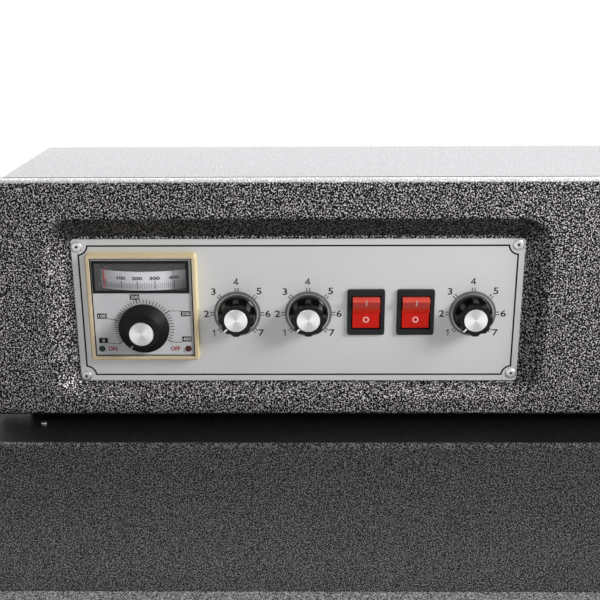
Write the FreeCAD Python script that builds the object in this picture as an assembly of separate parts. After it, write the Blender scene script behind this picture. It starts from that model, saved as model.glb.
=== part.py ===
"""Benchtop shrink tunnel: belt conveyor, heated hood and front control box.

Millimetres. The origin lies on the bench under the middle of the machine, +X runs along the
belt to the right of a person at the controls, the controls face -Y, and +Z is up.
"""
import FreeCAD, Part
import math
import os

V = FreeCAD.Vector
os.makedirs("parts", exist_ok=True)

# Driving dimensions: the whole machine
machine_length = 850.0
machine_depth = 470.0
machine_height = 320.0

# Sheet metal
sheet = 1.5
thin_sheet = 1.0
bend_radius = 4.0
foot_height = 12.0
foot_radius = 16.0
foot_inset = 45.0
foot_taper = 3.0
foot_chamfer = 1.5
foot_stud_length = 5.5

# Base: a shallow pan with a ledge all round, and a casing that stands on it
pan_height = 24.0
pan_ledge = 14.0
pan_seat = 12.0
pan_corner = 8.0
vent_slot_length = 44.0
vent_slot_width = 5.0
vent_slot_pitch = 13.0
vent_slot_count = 7
bed_gap = 1.0
rear_flange = 12.0

# Conveyor
belt_thickness = 1.0
belt_rise = 3.0
roller_radius = 20.0
roller_crown = 0.4
roller_end_inset = 32.0
roller_beyond_belt = 3.0
roller_side_gap = 4.0
nose_gap = 3.0
belt_to_roller_gap = 0.3
journal_radius = 6.0
rail_thickness = 10.0
rail_wall = 2.0
rail_height = 55.0
rail_above_belt = 6.0
rail_front_room = 28.0
rail_rear_room = 16.0
running_clearance = 0.05
bearing_outer_radius = 13.0
bearing_flange_radius = 17.0
bearing_flange_thickness = 2.5
support_rod_radius = 2.5
support_rod_pitch = 60.0
rod_to_belt_gap = 0.3
take_up_travel = 20.0
take_up_slot_gap = 1.0
take_up_block_height = 30.0
take_up_block_corner = 2.0
take_up_screw_radius = 3.0
take_up_screw_seat = 3.0
take_up_nut_radius = 3.4
take_up_nut_length = 3.0
bearing_setback = 1.0

# Drive
pulley_radius = 15.0
pulley_width = 10.0
pulley_to_rail = 4.0
groove_top_width = 6.4
groove_depth = 5.0
groove_bottom_width = 3.6
v_belt_depth = 4.0
v_belt_gap = 0.3
pulley_distance = 51.0
pulley_slope = 30.0
motor_shaft_radius = 5.0
motor_bore_depth = 30.0
mount_plate_thickness = 3.0
mount_plate_gap = 4.0
mount_plate_width = 84.0
mount_plate_corner = 10.0
mount_foot = 30.0
gearbox_size = 60.0
gearbox_length = 38.0
gearbox_corner = 8.0
motor_radius = 30.0
motor_length = 62.0
motor_groove_width = 2.0
motor_groove_depth = 1.2
motor_groove_inset = 6.0
motor_groove_pitch = 45.0

# Hood and heated chamber
hood_length = 500.0
hood_rise = 118.0
hood_rear_setback = 8.0
insulation = 13.5
fan_space = 17.0
chamber_top_clear = 16.0
mouth_side_gap = 3.0
heater_radius = 5.0
heater_count = 4
heater_cap_length = 14.0
heater_cap_wall = 1.5
heater_end_gap = 10.0
hanger_below_heater = 2.5
reflector_depth = 10.0
reflector_lip = 3.0
reflector_above_belt = 5.0
curtain_top_gap = 1.0
strip_count = 5
strip_gap = 1.5
strip_thickness = 1.2
strip_floor_gap = 3.0
curtain_rod_radius = 2.5
curtain_hem_radius = 4.5

# Hot air fan
fan_radius = 38.0
fan_eye_radius = 20.0
fan_width = 11.0
fan_blades = 20
blade_thickness = 0.8
blade_length = 9.0
blade_bow = 2.3
blade_inset = 0.4
fan_ring_width = 5.0
fan_wall_gap = 2.5
fan_hub_radius = 8.0
fan_hub_length = 6.6
fan_shaft_radius = 4.0
fan_motor_side = 62.0
fan_motor_height = 49.6
fan_stack_depth = 20.0
fan_stack_corner = 3.0
fan_leg_length = 12.0
fan_leg_radius = 3.5
fan_leg_inset = 6.0
fan_dome_radius = 15.0
fan_dome_depth = 9.0
fan_dome_step = 2.0
fan_x = 20.0

# Baffle before the fan: a round intake grille and two banks of outlet slots
grille_bar_pitch = 7.0
grille_slot_width = 4.0
grille_slot_count = 5
outlet_slot_width = 5.0
outlet_slot_length = 56.0
outlet_slot_pitch = 18.0
outlet_slot_count = 6
outlet_bank_inset = 100.0

# Control box
box_length = hood_length
fascia_overhang = 20.0
fascia_ledge_setback = 33.0
fascia_depth = 14.0
fascia_gap = 5.0
box_depth = 109.0
recess_depth = 11.0
recess_top_bevel = 14.0
recess_side_bevel = 13.0
recess_bottom_bevel = 6.0
recess_margin = 2.0
recess_corner = 9.0
rim_radius = 3.0
front_lip = 3.4
cover_flange = 14.0
cover_seam = 0.7
cover_end_gap = 2.0
mouth_corner = 3.0
louvre_length = 60.0
louvre_width = 4.0
louvre_pitch = 13.0
louvre_count = 5
recess_above_bottom = 14.0
recess_below_top = 26.4
recess_from_left = 44.0

# Control plate and what it carries, heights measured from the middle of the plate. From left to
# right stand the controller, two knobs, two switches and a knob: the gaps before, between and
# after them share out the room that they leave.
plate_length = 300.0
plate_height = 100.6
plate_thickness = 1.0
plate_corner = 2.0
plate_gaps = (9.4, 10.1, 16.2, 10.3, 8.1, 9.9, 16.6)
ring_z = -1.6
switch_z = -0.4
controller_z = 4.2
controller_side = 66.0
controller_depth = 88.0
controller_bezel_width = 73.6
controller_bezel_height = 74.7
controller_bezel_proud = 6.0
controller_bezel_rim = 2.8
controller_bezel_corner = 2.5
controller_bezel_round = 1.2
controller_face_setback = 1.5
controller_wall = 1.6
controller_face_thickness = 1.5
meter_window_width = 63.0
meter_window_height = 21.0
meter_window_z = 21.0
meter_radius = 70.0
meter_scale_height = 13.0
meter_scale_thickness = 1.0
meter_scale_gap = 4.0
meter_pin_radius = 1.0
meter_hub_radius = 3.0
meter_hub_height = 3.0
needle_arm_width = 1.2
needle_blade_width = 0.8
needle_thickness = 1.0
meter_sweep = 44.0
dial_x = 0.2
dial_z = -14.2
dial_radius = 17.0
dial_height = 13.0
dial_edge_height = 2.2
dial_cone_height = 7.0
dial_bevel = 0.8
dial_cap_wall = 1.4
dial_shaft_radius = 3.0
dial_shaft_reach = 19.0
dial_cap_radius = 8.2
lamp_radius = 2.2
lamp_fit = 0.05
lamp_dome = 1.4
lamp_tail = 4.0
lamp_x = 29.4
lamp_z = -29.3

# Knobs
knob_skirt_radius = 13.0
knob_skirt_height = 2.2
knob_waist_height = 0.6
knob_grip_foot_radius = 12.4
knob_grip_radius = 11.8
knob_grip_height = 14.0
knob_top_round = 1.6
knob_flutes = 8
flute_radius = 3.6
flute_depth = 1.8
knob_cap_radius = 7.9
knob_cap_thickness = 1.0
knob_cap_gap = 0.2
knob_cap_proud = 0.1
knob_cap_edge = 0.3
knob_shaft_radius = 3.0
knob_gap = 0.5
pot_radius = 8.5
pot_depth = 10.0
pot_edge = 1.0
pot_tag_width = 2.0
pot_tag_pitch = 4.0
pot_tag_length = 5.0
pot_tag_thickness = 0.5
pot_bore_depth = 8.0
pot_thread_radius = 4.5
ring_radius = 15.9
ring_thickness = 0.4
ring_bevel = 0.3
knob_rest_angle = 225.0

# Rocker switches
switch_width = 25.2
switch_height = 32.2
switch_rim = 2.0
switch_corner = 1.5
switch_round = 0.8
switch_body_depth = 22.0
switch_body_margin = 1.6
switch_tab_width = 6.0
switch_tab_length = 8.0
switch_tab_pitch = 14.0
switch_tab_thickness = 0.8
rocker_width = 18.2
rocker_half = 10.1
rocker_fold = 14.0
rocker_proud = 1.0
rocker_gap = 0.8
rocker_axis_depth = 1.5
rocker_belly = 0.72
rocker_side_angle = 10.0
rocker_axle_radius = 1.5
rocker_axle_reach = 1.4

# Electrics in the control box
board_x = 60.0
board_setback = 30.0
board_length = 130.0
board_width = 55.0
board_thickness = 1.6
pillar_height = 8.0
pillar_radius = 2.5
pillar_inset = 6.0
sink_length = 60.0
sink_width = 32.0
sink_inset = 10.0
sink_thickness = 2.4
fin_count = 6
fin_pitch = 6.0
fin_thickness = 1.6
fin_height = 20.0
can_radius = 6.0
can_height = 16.4
can_count = 2
can_pitch = 20.0
terminal_x = -60.0
terminal_setback = 50.0
terminal_count = 8
terminal_pitch = 11.0
terminal_depth = 22.0
terminal_height = 12.0
terminal_wall = 1.6
terminal_wall_height = 17.0

# Fasteners, fits and openings shared by several pieces
seat_gap = 0.3
screw_radius = 2.0
hole_clearance = 0.3
shaft_hole_clearance = 4.0
gland_radius = 8.0
gland_bore_radius = 4.0
gland_nut_radius = 11.5
gland_nut_length = 5.0
gland_lock_nut_length = 4.0
gland_thread_inside = 8.0
gland_body_length = 14.0
gland_dome_length = 6.0
gland_dome_step = 1.2
gland_inset = 81.0
gland_rise = 34.0

# How far a cutting tool runs past the face that it opens, and how far joined solids share
overcut = 1.0
root = 0.5

# Places worked out from the sizes above
recess_height = recess_bottom_bevel + plate_height + 2 * recess_margin + recess_top_bevel
box_height = fascia_gap + recess_above_bottom + recess_height + recess_below_top
base_height = machine_height - box_height
half_length = machine_length / 2
front_y = -machine_depth / 2
casing_half = half_length - pan_ledge
casing_front_y = front_y + pan_ledge
casing_rear_y = -casing_front_y
pan_top_z = foot_height + pan_height
casing_inner = casing_half - sheet
gland_x = -casing_half + gland_inset
gland_height = pan_top_z + gland_rise
vent_slot_z = (pan_top_z + base_height) / 2

fascia_face_y = casing_front_y + fascia_ledge_setback
recess_floor_y = fascia_face_y + recess_depth
plate_face_y = recess_floor_y - plate_thickness
floor_back_y = recess_floor_y + sheet
fascia_back_y = fascia_face_y + fascia_depth
seam_y = fascia_face_y + front_lip
box_rear_y = fascia_back_y + box_depth
fascia_bottom_z = base_height + fascia_gap
fascia_half = box_length / 2 + fascia_overhang
plate_x = -fascia_half + recess_from_left + recess_side_bevel + recess_margin + plate_length / 2
plate_z = fascia_bottom_z + recess_above_bottom + recess_bottom_bevel + recess_margin + plate_height / 2

plate_items = (controller_bezel_width, 2 * ring_radius, 2 * ring_radius, switch_width, switch_width,
               2 * ring_radius)
gap_scale = (plate_length - sum(plate_items)) / sum(plate_gaps)
item_starts = [sum(plate_items[:i]) + gap_scale * sum(plate_gaps[:i + 1]) for i in range(len(plate_items))]
item_places = [plate_x - plate_length / 2 + start + wide / 2 for start, wide in zip(item_starts, plate_items)]
controller_x, upper_heat_x, lower_heat_x, fan_switch_x, carry_switch_x, speed_x = item_places

hood_half = hood_length / 2
hood_height = base_height + hood_rise
hood_front_y = box_rear_y
hood_rear_y = casing_rear_y - hood_rear_setback
rail_front_y = hood_front_y + rail_front_room
rail_rear_y = hood_rear_y - rail_rear_room
belt_centre_y = (rail_front_y + rail_rear_y) / 2
rail_outer = rail_rear_y - belt_centre_y
rail_inner = rail_outer - rail_thickness
roller_half = rail_inner - roller_side_gap
belt_width = 2 * (roller_half - roller_beyond_belt)
belt_height = base_height + belt_rise
rail_top = belt_height + rail_above_belt
rail_bottom = rail_top - rail_height
belt_inner_radius = roller_radius + belt_to_roller_gap
roller_z = belt_height - belt_thickness - belt_inner_radius
roller_x = casing_half - roller_end_inset
return_top_z = roller_z - belt_inner_radius
bed_half = roller_x + belt_inner_radius + belt_thickness + nose_gap

liner_front_y = hood_front_y + sheet + insulation
baffle_y = liner_front_y + fan_space
chamber_front_y = baffle_y + thin_sheet
liner_rear_y = hood_rear_y - sheet - insulation
chamber_rear_y = liner_rear_y - thin_sheet
liner_top_z = hood_height - sheet - insulation
chamber_roof_z = liner_top_z - thin_sheet
mouth_top_z = chamber_roof_z - chamber_top_clear
mouth_front_y = belt_centre_y - rail_inner - mouth_side_gap
mouth_rear_y = belt_centre_y + rail_inner + mouth_side_gap
heater_top_z = (mouth_top_z + chamber_roof_z) / 2


# Shapes that many pieces are made from
def box(x0, x1, y0, y1, z0, z1):
    """A block between two corners."""
    return Part.makeBox(x1 - x0, y1 - y0, z1 - z0, V(x0, y0, z0))


def rod(radius, start, length, axis):
    """A round bar from a point along an axis."""
    return Part.makeCylinder(radius, length, V(*start), V(*axis))


def tube(outer, inner, start, length, axis):
    """A round pipe from a point along an axis."""
    return rod(outer, start, length, axis).cut(rod(inner, start, length, axis))


def join(shapes):
    """All the shapes as one solid, with the flat faces that meet made one."""
    whole = shapes[0].multiFuse(shapes[1:]) if len(shapes) > 1 else shapes[0]
    return whole.removeSplitter()


def take(shape, cutters):
    """The shape less all the cutters."""
    return shape.cut(cutters)


def rounded_block(x0, x1, y0, y1, z0, z1, radius, runs):
    """A block whose edges along one axis, 0, 1 or 2, are rounded."""
    block = box(x0, x1, y0, y1, z0, z1)
    edges = [e for e in block.Edges if runs_along(e, runs)]
    return block.makeFillet(radius, edges)


def runs_along(edge, axis):
    """Whether a straight edge runs along one axis."""
    span = edge.Vertexes[-1].Point - edge.Vertexes[0].Point
    return abs(abs(span[axis]) - span.Length) < 1e-6 and span.Length > 1e-6


def rounded_outline(left, right, bottom, top, radius, y):
    """A rectangle with round corners in an upright plane, as a closed wire."""
    plate = box(left, right, y, y + 1.0, bottom, top)
    plate = plate.makeFillet(radius, [e for e in plate.Edges if runs_along(e, 1)])
    faces = [f for f in plate.Faces if abs(f.CenterOfMass.y - y) < 1e-6]
    return faces[0].OuterWire


def profile(points):
    """A flat face through corner points."""
    corners = [V(*p) for p in points]
    return Part.Face(Part.makePolygon(corners + corners[:1]))


def turned(radii, centre, y_sign=-1.0):
    """A solid of revolution about a line along Y: pairs of radius and distance from the centre."""
    corners = [(centre[0] + r, centre[1] + y_sign * d, centre[2]) for r, d in radii]
    return profile(corners).revolve(V(*centre), V(0, 1, 0), 360)


def spread(count, pitch, middle=0.0):
    """Evenly spaced places about a middle."""
    return [middle + (i - (count - 1) / 2) * pitch for i in range(count)]


def upper_edges(block, axis, z):
    """Straight edges of a block that run along an axis above a height."""
    return [e for e in block.Edges if runs_along(e, axis) and e.CenterOfMass.z > z]


def front_edges(block, y):
    """Edges of a block that lie in the upright plane of its front face."""
    return [e for e in block.Edges if e.BoundBox.YMax < y + 1e-6]


def save(name, solids):
    """One file per named piece."""
    shape = solids[0] if len(solids) == 1 else Part.makeCompound(solids)
    assert shape.isValid(), name
    shape.exportStep("parts/" + name + ".step")


# Base
def base_pan():
    """Folded tray whose rim stands out from the casing as a ledge."""
    outer = rounded_block(-half_length, half_length, front_y, -front_y,
                          foot_height, pan_top_z, pan_corner, 2)
    hollow = rounded_block(-half_length + sheet, half_length - sheet, front_y + sheet, -front_y - sheet,
                           foot_height + sheet, pan_top_z - sheet, pan_corner - sheet, 2)
    seat = pan_ledge + pan_seat
    mouth = box(-half_length + seat, half_length - seat, front_y + seat, -front_y - seat,
                pan_top_z - 2 * sheet, pan_top_z + sheet)
    slots = [box(x - vent_slot_width / 2, x + vent_slot_width / 2,
                 y - vent_slot_length / 2, y + vent_slot_length / 2,
                 foot_height - sheet, foot_height + 2 * sheet)
             for x in spread(vent_slot_count, vent_slot_pitch, -casing_half / 2)
             for y in (casing_front_y / 2, casing_rear_y / 2)]
    feet_holes = [rod(screw_radius + hole_clearance, (x, y, foot_height - sheet), 3 * sheet, (0, 0, 1))
                  for x, y in foot_places()]
    return take(outer, [hollow, mouth] + slots + feet_holes)


def foot_places():
    """The four corners where the feet are screwed on."""
    x = half_length - foot_inset
    y = -front_y - foot_inset
    return [(-x, -y), (x, -y), (-x, y), (x, y)]


def rubber_feet():
    """Four tapered feet, each with a stud through the pan."""
    sole = foot_radius - foot_taper
    outline = [(0, 0), (sole - foot_chamfer, 0), (sole, foot_chamfer),
               (foot_radius, foot_height), (0, foot_height)]
    feet = []
    for x, y in foot_places():
        cone = profile([(x + r, y, z) for r, z in outline]).revolve(V(x, y, 0), V(0, 0, 1), 360)
        stud = rod(screw_radius, (x, y, foot_height - root), foot_stud_length, (0, 0, 1))
        feet.append(join([cone, stud]))
    return feet


def base_casing():
    """Front and top of the base in one folded sheet, open over the conveyor."""
    outer = box(-casing_half, casing_half, casing_front_y, casing_rear_y, pan_top_z, base_height)
    fold = [e for e in upper_edges(outer, 0, base_height - overcut) if e.CenterOfMass.y < 0]
    outer = outer.makeFillet(bend_radius, fold)
    inner = box(-casing_half - overcut, casing_half + overcut, casing_front_y + sheet,
                casing_rear_y + overcut, pan_top_z - overcut, base_height - sheet)
    fold = [e for e in upper_edges(inner, 0, pan_top_z) if e.CenterOfMass.y < 0]
    inner = inner.makeFillet(bend_radius - sheet, fold)
    bed = box(-bed_half, bed_half, rail_front_y - bed_gap, rail_rear_y + bed_gap,
              base_height - sheet - overcut, base_height + overcut)
    return take(outer, [inner, bed])


def base_rear_panel():
    """Rear wall with vent slots and the cable inlet, and a flange under the edge of the deck."""
    deck_z = base_height - sheet
    wall = box(-casing_half, casing_half, casing_rear_y - sheet, casing_rear_y, pan_top_z, deck_z)
    flange = box(-casing_inner, casing_inner, casing_rear_y - rear_flange, casing_rear_y,
                 deck_z - sheet, deck_z)
    start = casing_rear_y - sheet - overcut
    across = sheet + 2 * overcut
    slots = [box(x - vent_slot_width / 2, x + vent_slot_width / 2, start, start + across,
                 vent_slot_z - vent_slot_length / 2, vent_slot_z + vent_slot_length / 2)
             for side in (-1, 1)
             for x in spread(vent_slot_count, vent_slot_pitch, side * casing_half / 3)]
    inlet = rod(gland_radius + hole_clearance, (gland_x, start, gland_height), across, (0, 1, 0))
    return take(join([wall, flange]), slots + [inlet])


def base_end(side):
    """End panel inside the casing, its foot folded in over the rim of the pan."""
    outer_x = side * casing_half
    half = casing_rear_y - sheet
    low, high = sorted((outer_x, outer_x - side * sheet))
    panel = box(low, high, -half, half, pan_top_z, base_height - sheet)
    corner = [e for e in upper_edges(panel, 0, pan_top_z + overcut) if e.CenterOfMass.y < 0]
    panel = panel.makeFillet(bend_radius - sheet, corner)
    low, high = sorted((outer_x, outer_x - side * pan_seat))
    foot = box(low, high, -half, half, pan_top_z, pan_top_z + sheet)
    return join([panel, foot])


def gland_nut(y, length):
    """Six-sided nut on the thread of the gland."""
    ring = []
    for i in range(6):
        angle = math.radians(60 * i)
        ring.append((gland_x + gland_nut_radius * math.cos(angle), y,
                     gland_height + gland_nut_radius * math.sin(angle)))
    hole = rod(gland_radius - root, (gland_x, y - overcut, gland_height), length + 2 * overcut, (0, 1, 0))
    return profile(ring).extrude(V(0, length, 0)).cut(hole)


def cable_gland():
    """Threaded gland with a domed cap, held in the rear panel by a nut on each side."""
    inner_y = casing_rear_y - gland_thread_inside
    dome_y = casing_rear_y + gland_nut_length
    body = tube(gland_radius, gland_bore_radius, (gland_x, inner_y, gland_height), gland_body_length,
                (0, 1, 0))
    nuts = [gland_nut(casing_rear_y, gland_nut_length),
            gland_nut(casing_rear_y - sheet - gland_lock_nut_length, gland_lock_nut_length)]
    dome = Part.makeCone(gland_radius + gland_dome_step, gland_radius - gland_dome_step, gland_dome_length,
                         V(gland_x, dome_y, gland_height), V(0, 1, 0))
    bore = rod(gland_bore_radius, (gland_x, casing_rear_y, gland_height), 2 * gland_body_length, (0, 1, 0))
    return join([body, dome.cut(bore)] + nuts)


# Conveyor
def rail(side):
    """C-channel with its web towards the belt: bearings at the exit, sliding blocks at the entry."""
    web_y = belt_centre_y + side * rail_inner
    lip_y = belt_centre_y + side * rail_outer
    low, high = sorted((web_y, lip_y))
    bar = box(-casing_inner, casing_inner, low, high, rail_bottom, rail_top)
    hollow_low, hollow_high = sorted((web_y + side * rail_wall, lip_y + side * overcut))
    cuts = [box(-casing_inner - overcut, casing_inner + overcut, hollow_low, hollow_high,
                rail_bottom + rail_wall, rail_top - rail_wall)]
    start = min(web_y, web_y + side * rail_wall) - overcut
    across = rail_wall + 2 * overcut
    cuts.append(rod(bearing_outer_radius, (roller_x, start, roller_z), across, (0, 1, 0)))
    slot_half = journal_radius + take_up_slot_gap
    reach = take_up_travel / 2
    cuts.append(box(-roller_x - reach, -roller_x + reach, start, start + across,
                    roller_z - slot_half, roller_z + slot_half))
    cuts += [rod(slot_half, (-roller_x + end * reach, start, roller_z), across, (0, 1, 0)) for end in (-1, 1)]
    cuts += [rod(support_rod_radius + running_clearance, (x, start, support_rod_z()), across, (0, 1, 0))
             for x in support_rod_places()]
    for end in (-1, 1):
        notch_low, notch_high = sorted((end * (bed_half - seat_gap), end * (casing_inner + overcut)))
        cuts.append(box(notch_low, notch_high, low - overcut, high + overcut,
                        base_height - sheet, rail_top + overcut))
    return take(bar, cuts)


def support_rod_z():
    """Height of the cross rods that carry the upper run of the belt."""
    return belt_height - belt_thickness - rod_to_belt_gap - support_rod_radius


def support_rod_places():
    """Cross rods spread evenly between the two end rollers."""
    free = roller_x - roller_radius - 2 * support_rod_radius
    count = int(2 * free // support_rod_pitch)
    return spread(count, support_rod_pitch)


def belt_support_rods():
    """Cross rods that seat in holes in both rails."""
    reach = rail_inner + rail_wall - running_clearance
    return [rod(support_rod_radius, (x, belt_centre_y - reach, support_rod_z()), 2 * reach, (0, 1, 0))
            for x in support_rod_places()]


def loop_solid(places, radius, thickness, y0, width):
    """A belt laid round two equal round places: its inner radius, thickness and width."""
    (xa, za), (xb, zb) = places
    along = V(xb - xa, 0, zb - za)
    length = along.Length
    turn = -math.degrees(math.atan2(along.z, along.x))

    def track(r):
        ends = [rod(r, (x, y0, 0), width, (0, 1, 0)) for x in (0, length)]
        return join([box(0, length, y0, y0 + width, -r, r)] + ends)

    loop = track(radius + thickness).cut(track(radius))
    loop.rotate(V(0, 0, 0), V(0, 1, 0), turn)
    loop.translate(V(xa, 0, za))
    return loop


def conveyor_belt():
    """Endless belt round the two rollers."""
    places = [(-roller_x, roller_z), (roller_x, roller_z)]
    return loop_solid(places, belt_inner_radius, belt_thickness, belt_centre_y - belt_width / 2, belt_width)


def roller(x, front_reach, rear_reach):
    """Crowned roller with a turned journal at each end, reaching from the middle of the belt."""
    end_radius = roller_radius - roller_crown
    steps = [(0, -rear_reach), (journal_radius, -rear_reach), (journal_radius, -roller_half),
             (end_radius, -roller_half), (roller_radius, -roller_half / 2),
             (roller_radius, roller_half / 2), (end_radius, roller_half),
             (journal_radius, roller_half), (journal_radius, front_reach), (0, front_reach)]
    return turned(steps, (x, belt_centre_y, roller_z))


def drive_roller():
    """Exit roller: its front journal runs on through the rail to the pulley."""
    front = pulley_plane_y() - pulley_width / 2 - bearing_setback
    return roller(roller_x, belt_centre_y - front, rail_outer - bearing_setback)


def idler_roller():
    """Entry roller, carried by the two sliding blocks."""
    reach = rail_outer - bearing_setback
    return roller(-roller_x, reach, reach)


def pulley_plane_y():
    """Middle of the two pulleys, in front of the front rail."""
    return rail_front_y - pulley_to_rail - pulley_width / 2


def motor_place():
    """Output shaft of the gearmotor, below and beside the drive roller."""
    slope = math.radians(pulley_slope)
    return (roller_x - pulley_distance * math.cos(slope), roller_z - pulley_distance * math.sin(slope))


def pulley(x, z, bore):
    """Pulley with one vee groove and a bore."""
    half = pulley_width / 2
    top = groove_top_width / 2
    bottom = groove_bottom_width / 2
    steps = [(bore, -half), (pulley_radius, -half), (pulley_radius, -top),
             (pulley_radius - groove_depth, -bottom), (pulley_radius - groove_depth, bottom),
             (pulley_radius, top), (pulley_radius, half), (bore, half)]
    return turned(steps, (x, pulley_plane_y(), z))


def drive_belt():
    """Vee belt between the two pulleys, its flanks clear of the grooves."""
    xm, zm = motor_place()
    y = pulley_plane_y()
    inner = pulley_radius - groove_depth + v_belt_gap
    outer = inner + v_belt_depth + overcut
    slope = (groove_top_width - groove_bottom_width) / 2 / groove_depth
    low = groove_bottom_width / 2 - v_belt_gap / 2
    high = low + slope * v_belt_depth
    wide = low + slope * (v_belt_depth + overcut)
    whole = loop_solid([(xm, zm), (roller_x, roller_z)], inner, v_belt_depth, y - high, 2 * high)
    along = V(roller_x - xm, 0, roller_z - zm)
    section = profile([(inner, -low, 0), (outer, -wide, 0), (outer, wide, 0), (inner, low, 0)])
    rings = [section.revolve(V(0, 0, 0), V(0, 1, 0), 360).translated(V(d, y, 0)) for d in (0, along.Length)]
    runs = []
    for side in (-1, 1):
        strip = [(0, -low, side * inner), (0, low, side * inner),
                 (0, wide, side * outer), (0, -wide, side * outer)]
        runs.append(profile(strip).extrude(V(along.Length, 0, 0)).translated(V(0, y, 0)))
    vee = rings[0].multiFuse(rings[1:] + runs)
    vee.rotate(V(0, 0, 0), V(0, 1, 0), -math.degrees(math.atan2(along.z, along.x)))
    vee.translate(V(xm, 0, zm))
    return whole.common(vee).removeSplitter()


def drive_bearings():
    """Two flanged bushes for the drive roller, one in each rail."""
    bushes = []
    for side in (-1, 1):
        web_y = belt_centre_y + side * rail_inner
        sleeve = rod(bearing_outer_radius, (roller_x, web_y, roller_z), rail_thickness - bearing_setback,
                     (0, side, 0))
        flange = rod(bearing_flange_radius, (roller_x, web_y + side * rail_wall, roller_z),
                     bearing_flange_thickness, (0, side, 0))
        bore = rod(journal_radius + running_clearance, (roller_x, web_y - side * overcut, roller_z),
                   rail_thickness + 2 * overcut, (0, side, 0))
        bushes.append(join([sleeve, flange]).cut(bore))
    return bushes


def take_up_blocks():
    """Two sliding blocks that hold the idler roller and take up the belt."""
    blocks = []
    half = bearing_outer_radius
    high_half = take_up_block_height / 2
    for side in (-1, 1):
        inner_y = belt_centre_y + side * (rail_inner + rail_wall)
        outer_y = belt_centre_y + side * (rail_outer - bearing_setback)
        low, high = sorted((inner_y, outer_y))
        body = rounded_block(-roller_x - half, -roller_x + half, low, high,
                             roller_z - high_half, roller_z + high_half, take_up_block_corner, 1)
        bore = rod(journal_radius + running_clearance, (-roller_x, low - overcut, roller_z),
                   high - low + 2 * overcut, (0, 1, 0))
        seat = rod(take_up_screw_radius, (-roller_x - half - overcut, (low + high) / 2, roller_z),
                   take_up_screw_seat + overcut, (1, 0, 0))
        blocks.append(take(body, [bore, seat]))
    return blocks


def take_up_screws():
    """Two screws from the entry end panel that draw the blocks out."""
    screws = []
    length = casing_inner - roller_x - bearing_outer_radius + take_up_screw_seat
    for side in (-1, 1):
        y = belt_centre_y + side * (rail_inner + rail_wall + rail_outer - bearing_setback) / 2
        shank = rod(take_up_screw_radius, (-casing_inner, y, roller_z), length, (1, 0, 0))
        nut = rod(take_up_nut_radius, (-casing_inner, y, roller_z), take_up_nut_length, (1, 0, 0))
        screws.append(join([shank, nut]))
    return screws


def motor_face_y():
    """Face of the gearbox that bolts to the back of its bracket."""
    return pulley_plane_y() - pulley_width / 2 - mount_plate_gap - mount_plate_thickness


def motor_bracket():
    """Upright plate with a foot on the pan, and a hole for the gearbox boss."""
    xm, zm = motor_place()
    y0 = motor_face_y()
    half = mount_plate_width / 2
    floor_z = foot_height + sheet
    top_z = zm + gearbox_size / 2
    plate = box(xm - half, xm + half, y0, y0 + mount_plate_thickness, floor_z, top_z)
    plate = plate.makeFillet(mount_plate_corner, upper_edges(plate, 1, top_z - overcut))
    foot = box(xm - half, xm + half, y0 + mount_plate_thickness - mount_foot, y0 + mount_plate_thickness,
               floor_z, floor_z + mount_plate_thickness)
    hole = rod(motor_shaft_radius + shaft_hole_clearance + hole_clearance, (xm, y0 - overcut, zm),
               mount_plate_thickness + 2 * overcut, (0, 1, 0))
    return take(join([plate, foot]), [hole])


def gearmotor():
    """Gearbox with a boss, and a round motor behind it with two grooves round its can."""
    xm, zm = motor_place()
    face_y = motor_face_y()
    half = gearbox_size / 2
    case = rounded_block(xm - half, xm + half, face_y - gearbox_length, face_y,
                         zm - half, zm + half, gearbox_corner, 1)
    boss = rod(motor_shaft_radius + shaft_hole_clearance, (xm, face_y - root, zm),
               root + mount_plate_thickness + overcut, (0, 1, 0))
    can_y = face_y - gearbox_length - motor_length
    can = rod(motor_radius, (xm, can_y, zm), motor_length, (0, 1, 0))
    first_y = can_y + motor_groove_inset
    grooves = [tube(motor_radius + overcut, motor_radius - motor_groove_depth, (xm, y, zm),
                    motor_groove_width, (0, 1, 0)) for y in (first_y, first_y + motor_groove_pitch)]
    bore = rod(motor_shaft_radius + running_clearance, (xm, face_y - motor_bore_depth, zm),
               motor_bore_depth + 2 * mount_plate_thickness, (0, 1, 0))
    return take(join([case, boss, can]), grooves + [bore])


def motor_pulley():
    """Output shaft of the gearbox with its pulley pressed on."""
    xm, zm = motor_place()
    y_end = pulley_plane_y() + pulley_width / 2
    y_start = motor_face_y() - motor_bore_depth + root
    shaft = rod(motor_shaft_radius, (xm, y_start, zm), y_end - y_start, (0, 1, 0))
    return join([pulley(xm, zm, 0.0), shaft])


# Hood and heated chamber
def tunnel_hood():
    """Outer sheet of the tunnel with its two end walls, open below and at both mouths."""
    outer = box(-hood_half, hood_half, hood_front_y, hood_rear_y, base_height, hood_height)
    outer = outer.makeFillet(bend_radius, upper_edges(outer, 0, hood_height - overcut))
    hollow = box(-hood_half + sheet, hood_half - sheet, hood_front_y + sheet, hood_rear_y - sheet,
                 base_height - overcut, hood_height - sheet)
    hollow = hollow.makeFillet(bend_radius - sheet, upper_edges(hollow, 0, base_height))
    ends = hood_half + overcut
    below = base_height - 2 * mouth_corner
    mouth = rounded_block(-ends, ends, mouth_front_y, mouth_rear_y, below, mouth_top_z, mouth_corner, 0)
    bed = box(-ends, ends, rail_front_y - seat_gap, rail_rear_y + seat_gap, below, rail_top + seat_gap)
    return take(outer, [hollow, mouth, bed, fan_hole(hood_front_y, sheet)])


def fan_hole(y, depth):
    """Cutter for the hole that the fan shaft passes through."""
    return rod(fan_shaft_radius + shaft_hole_clearance, (fan_x, y - overcut, fan_z()), depth + 2 * overcut,
               (0, 1, 0))


def fan_z():
    """Height of the fan, midway between the rail and the roof."""
    return (rail_top + chamber_roof_z) / 2


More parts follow.
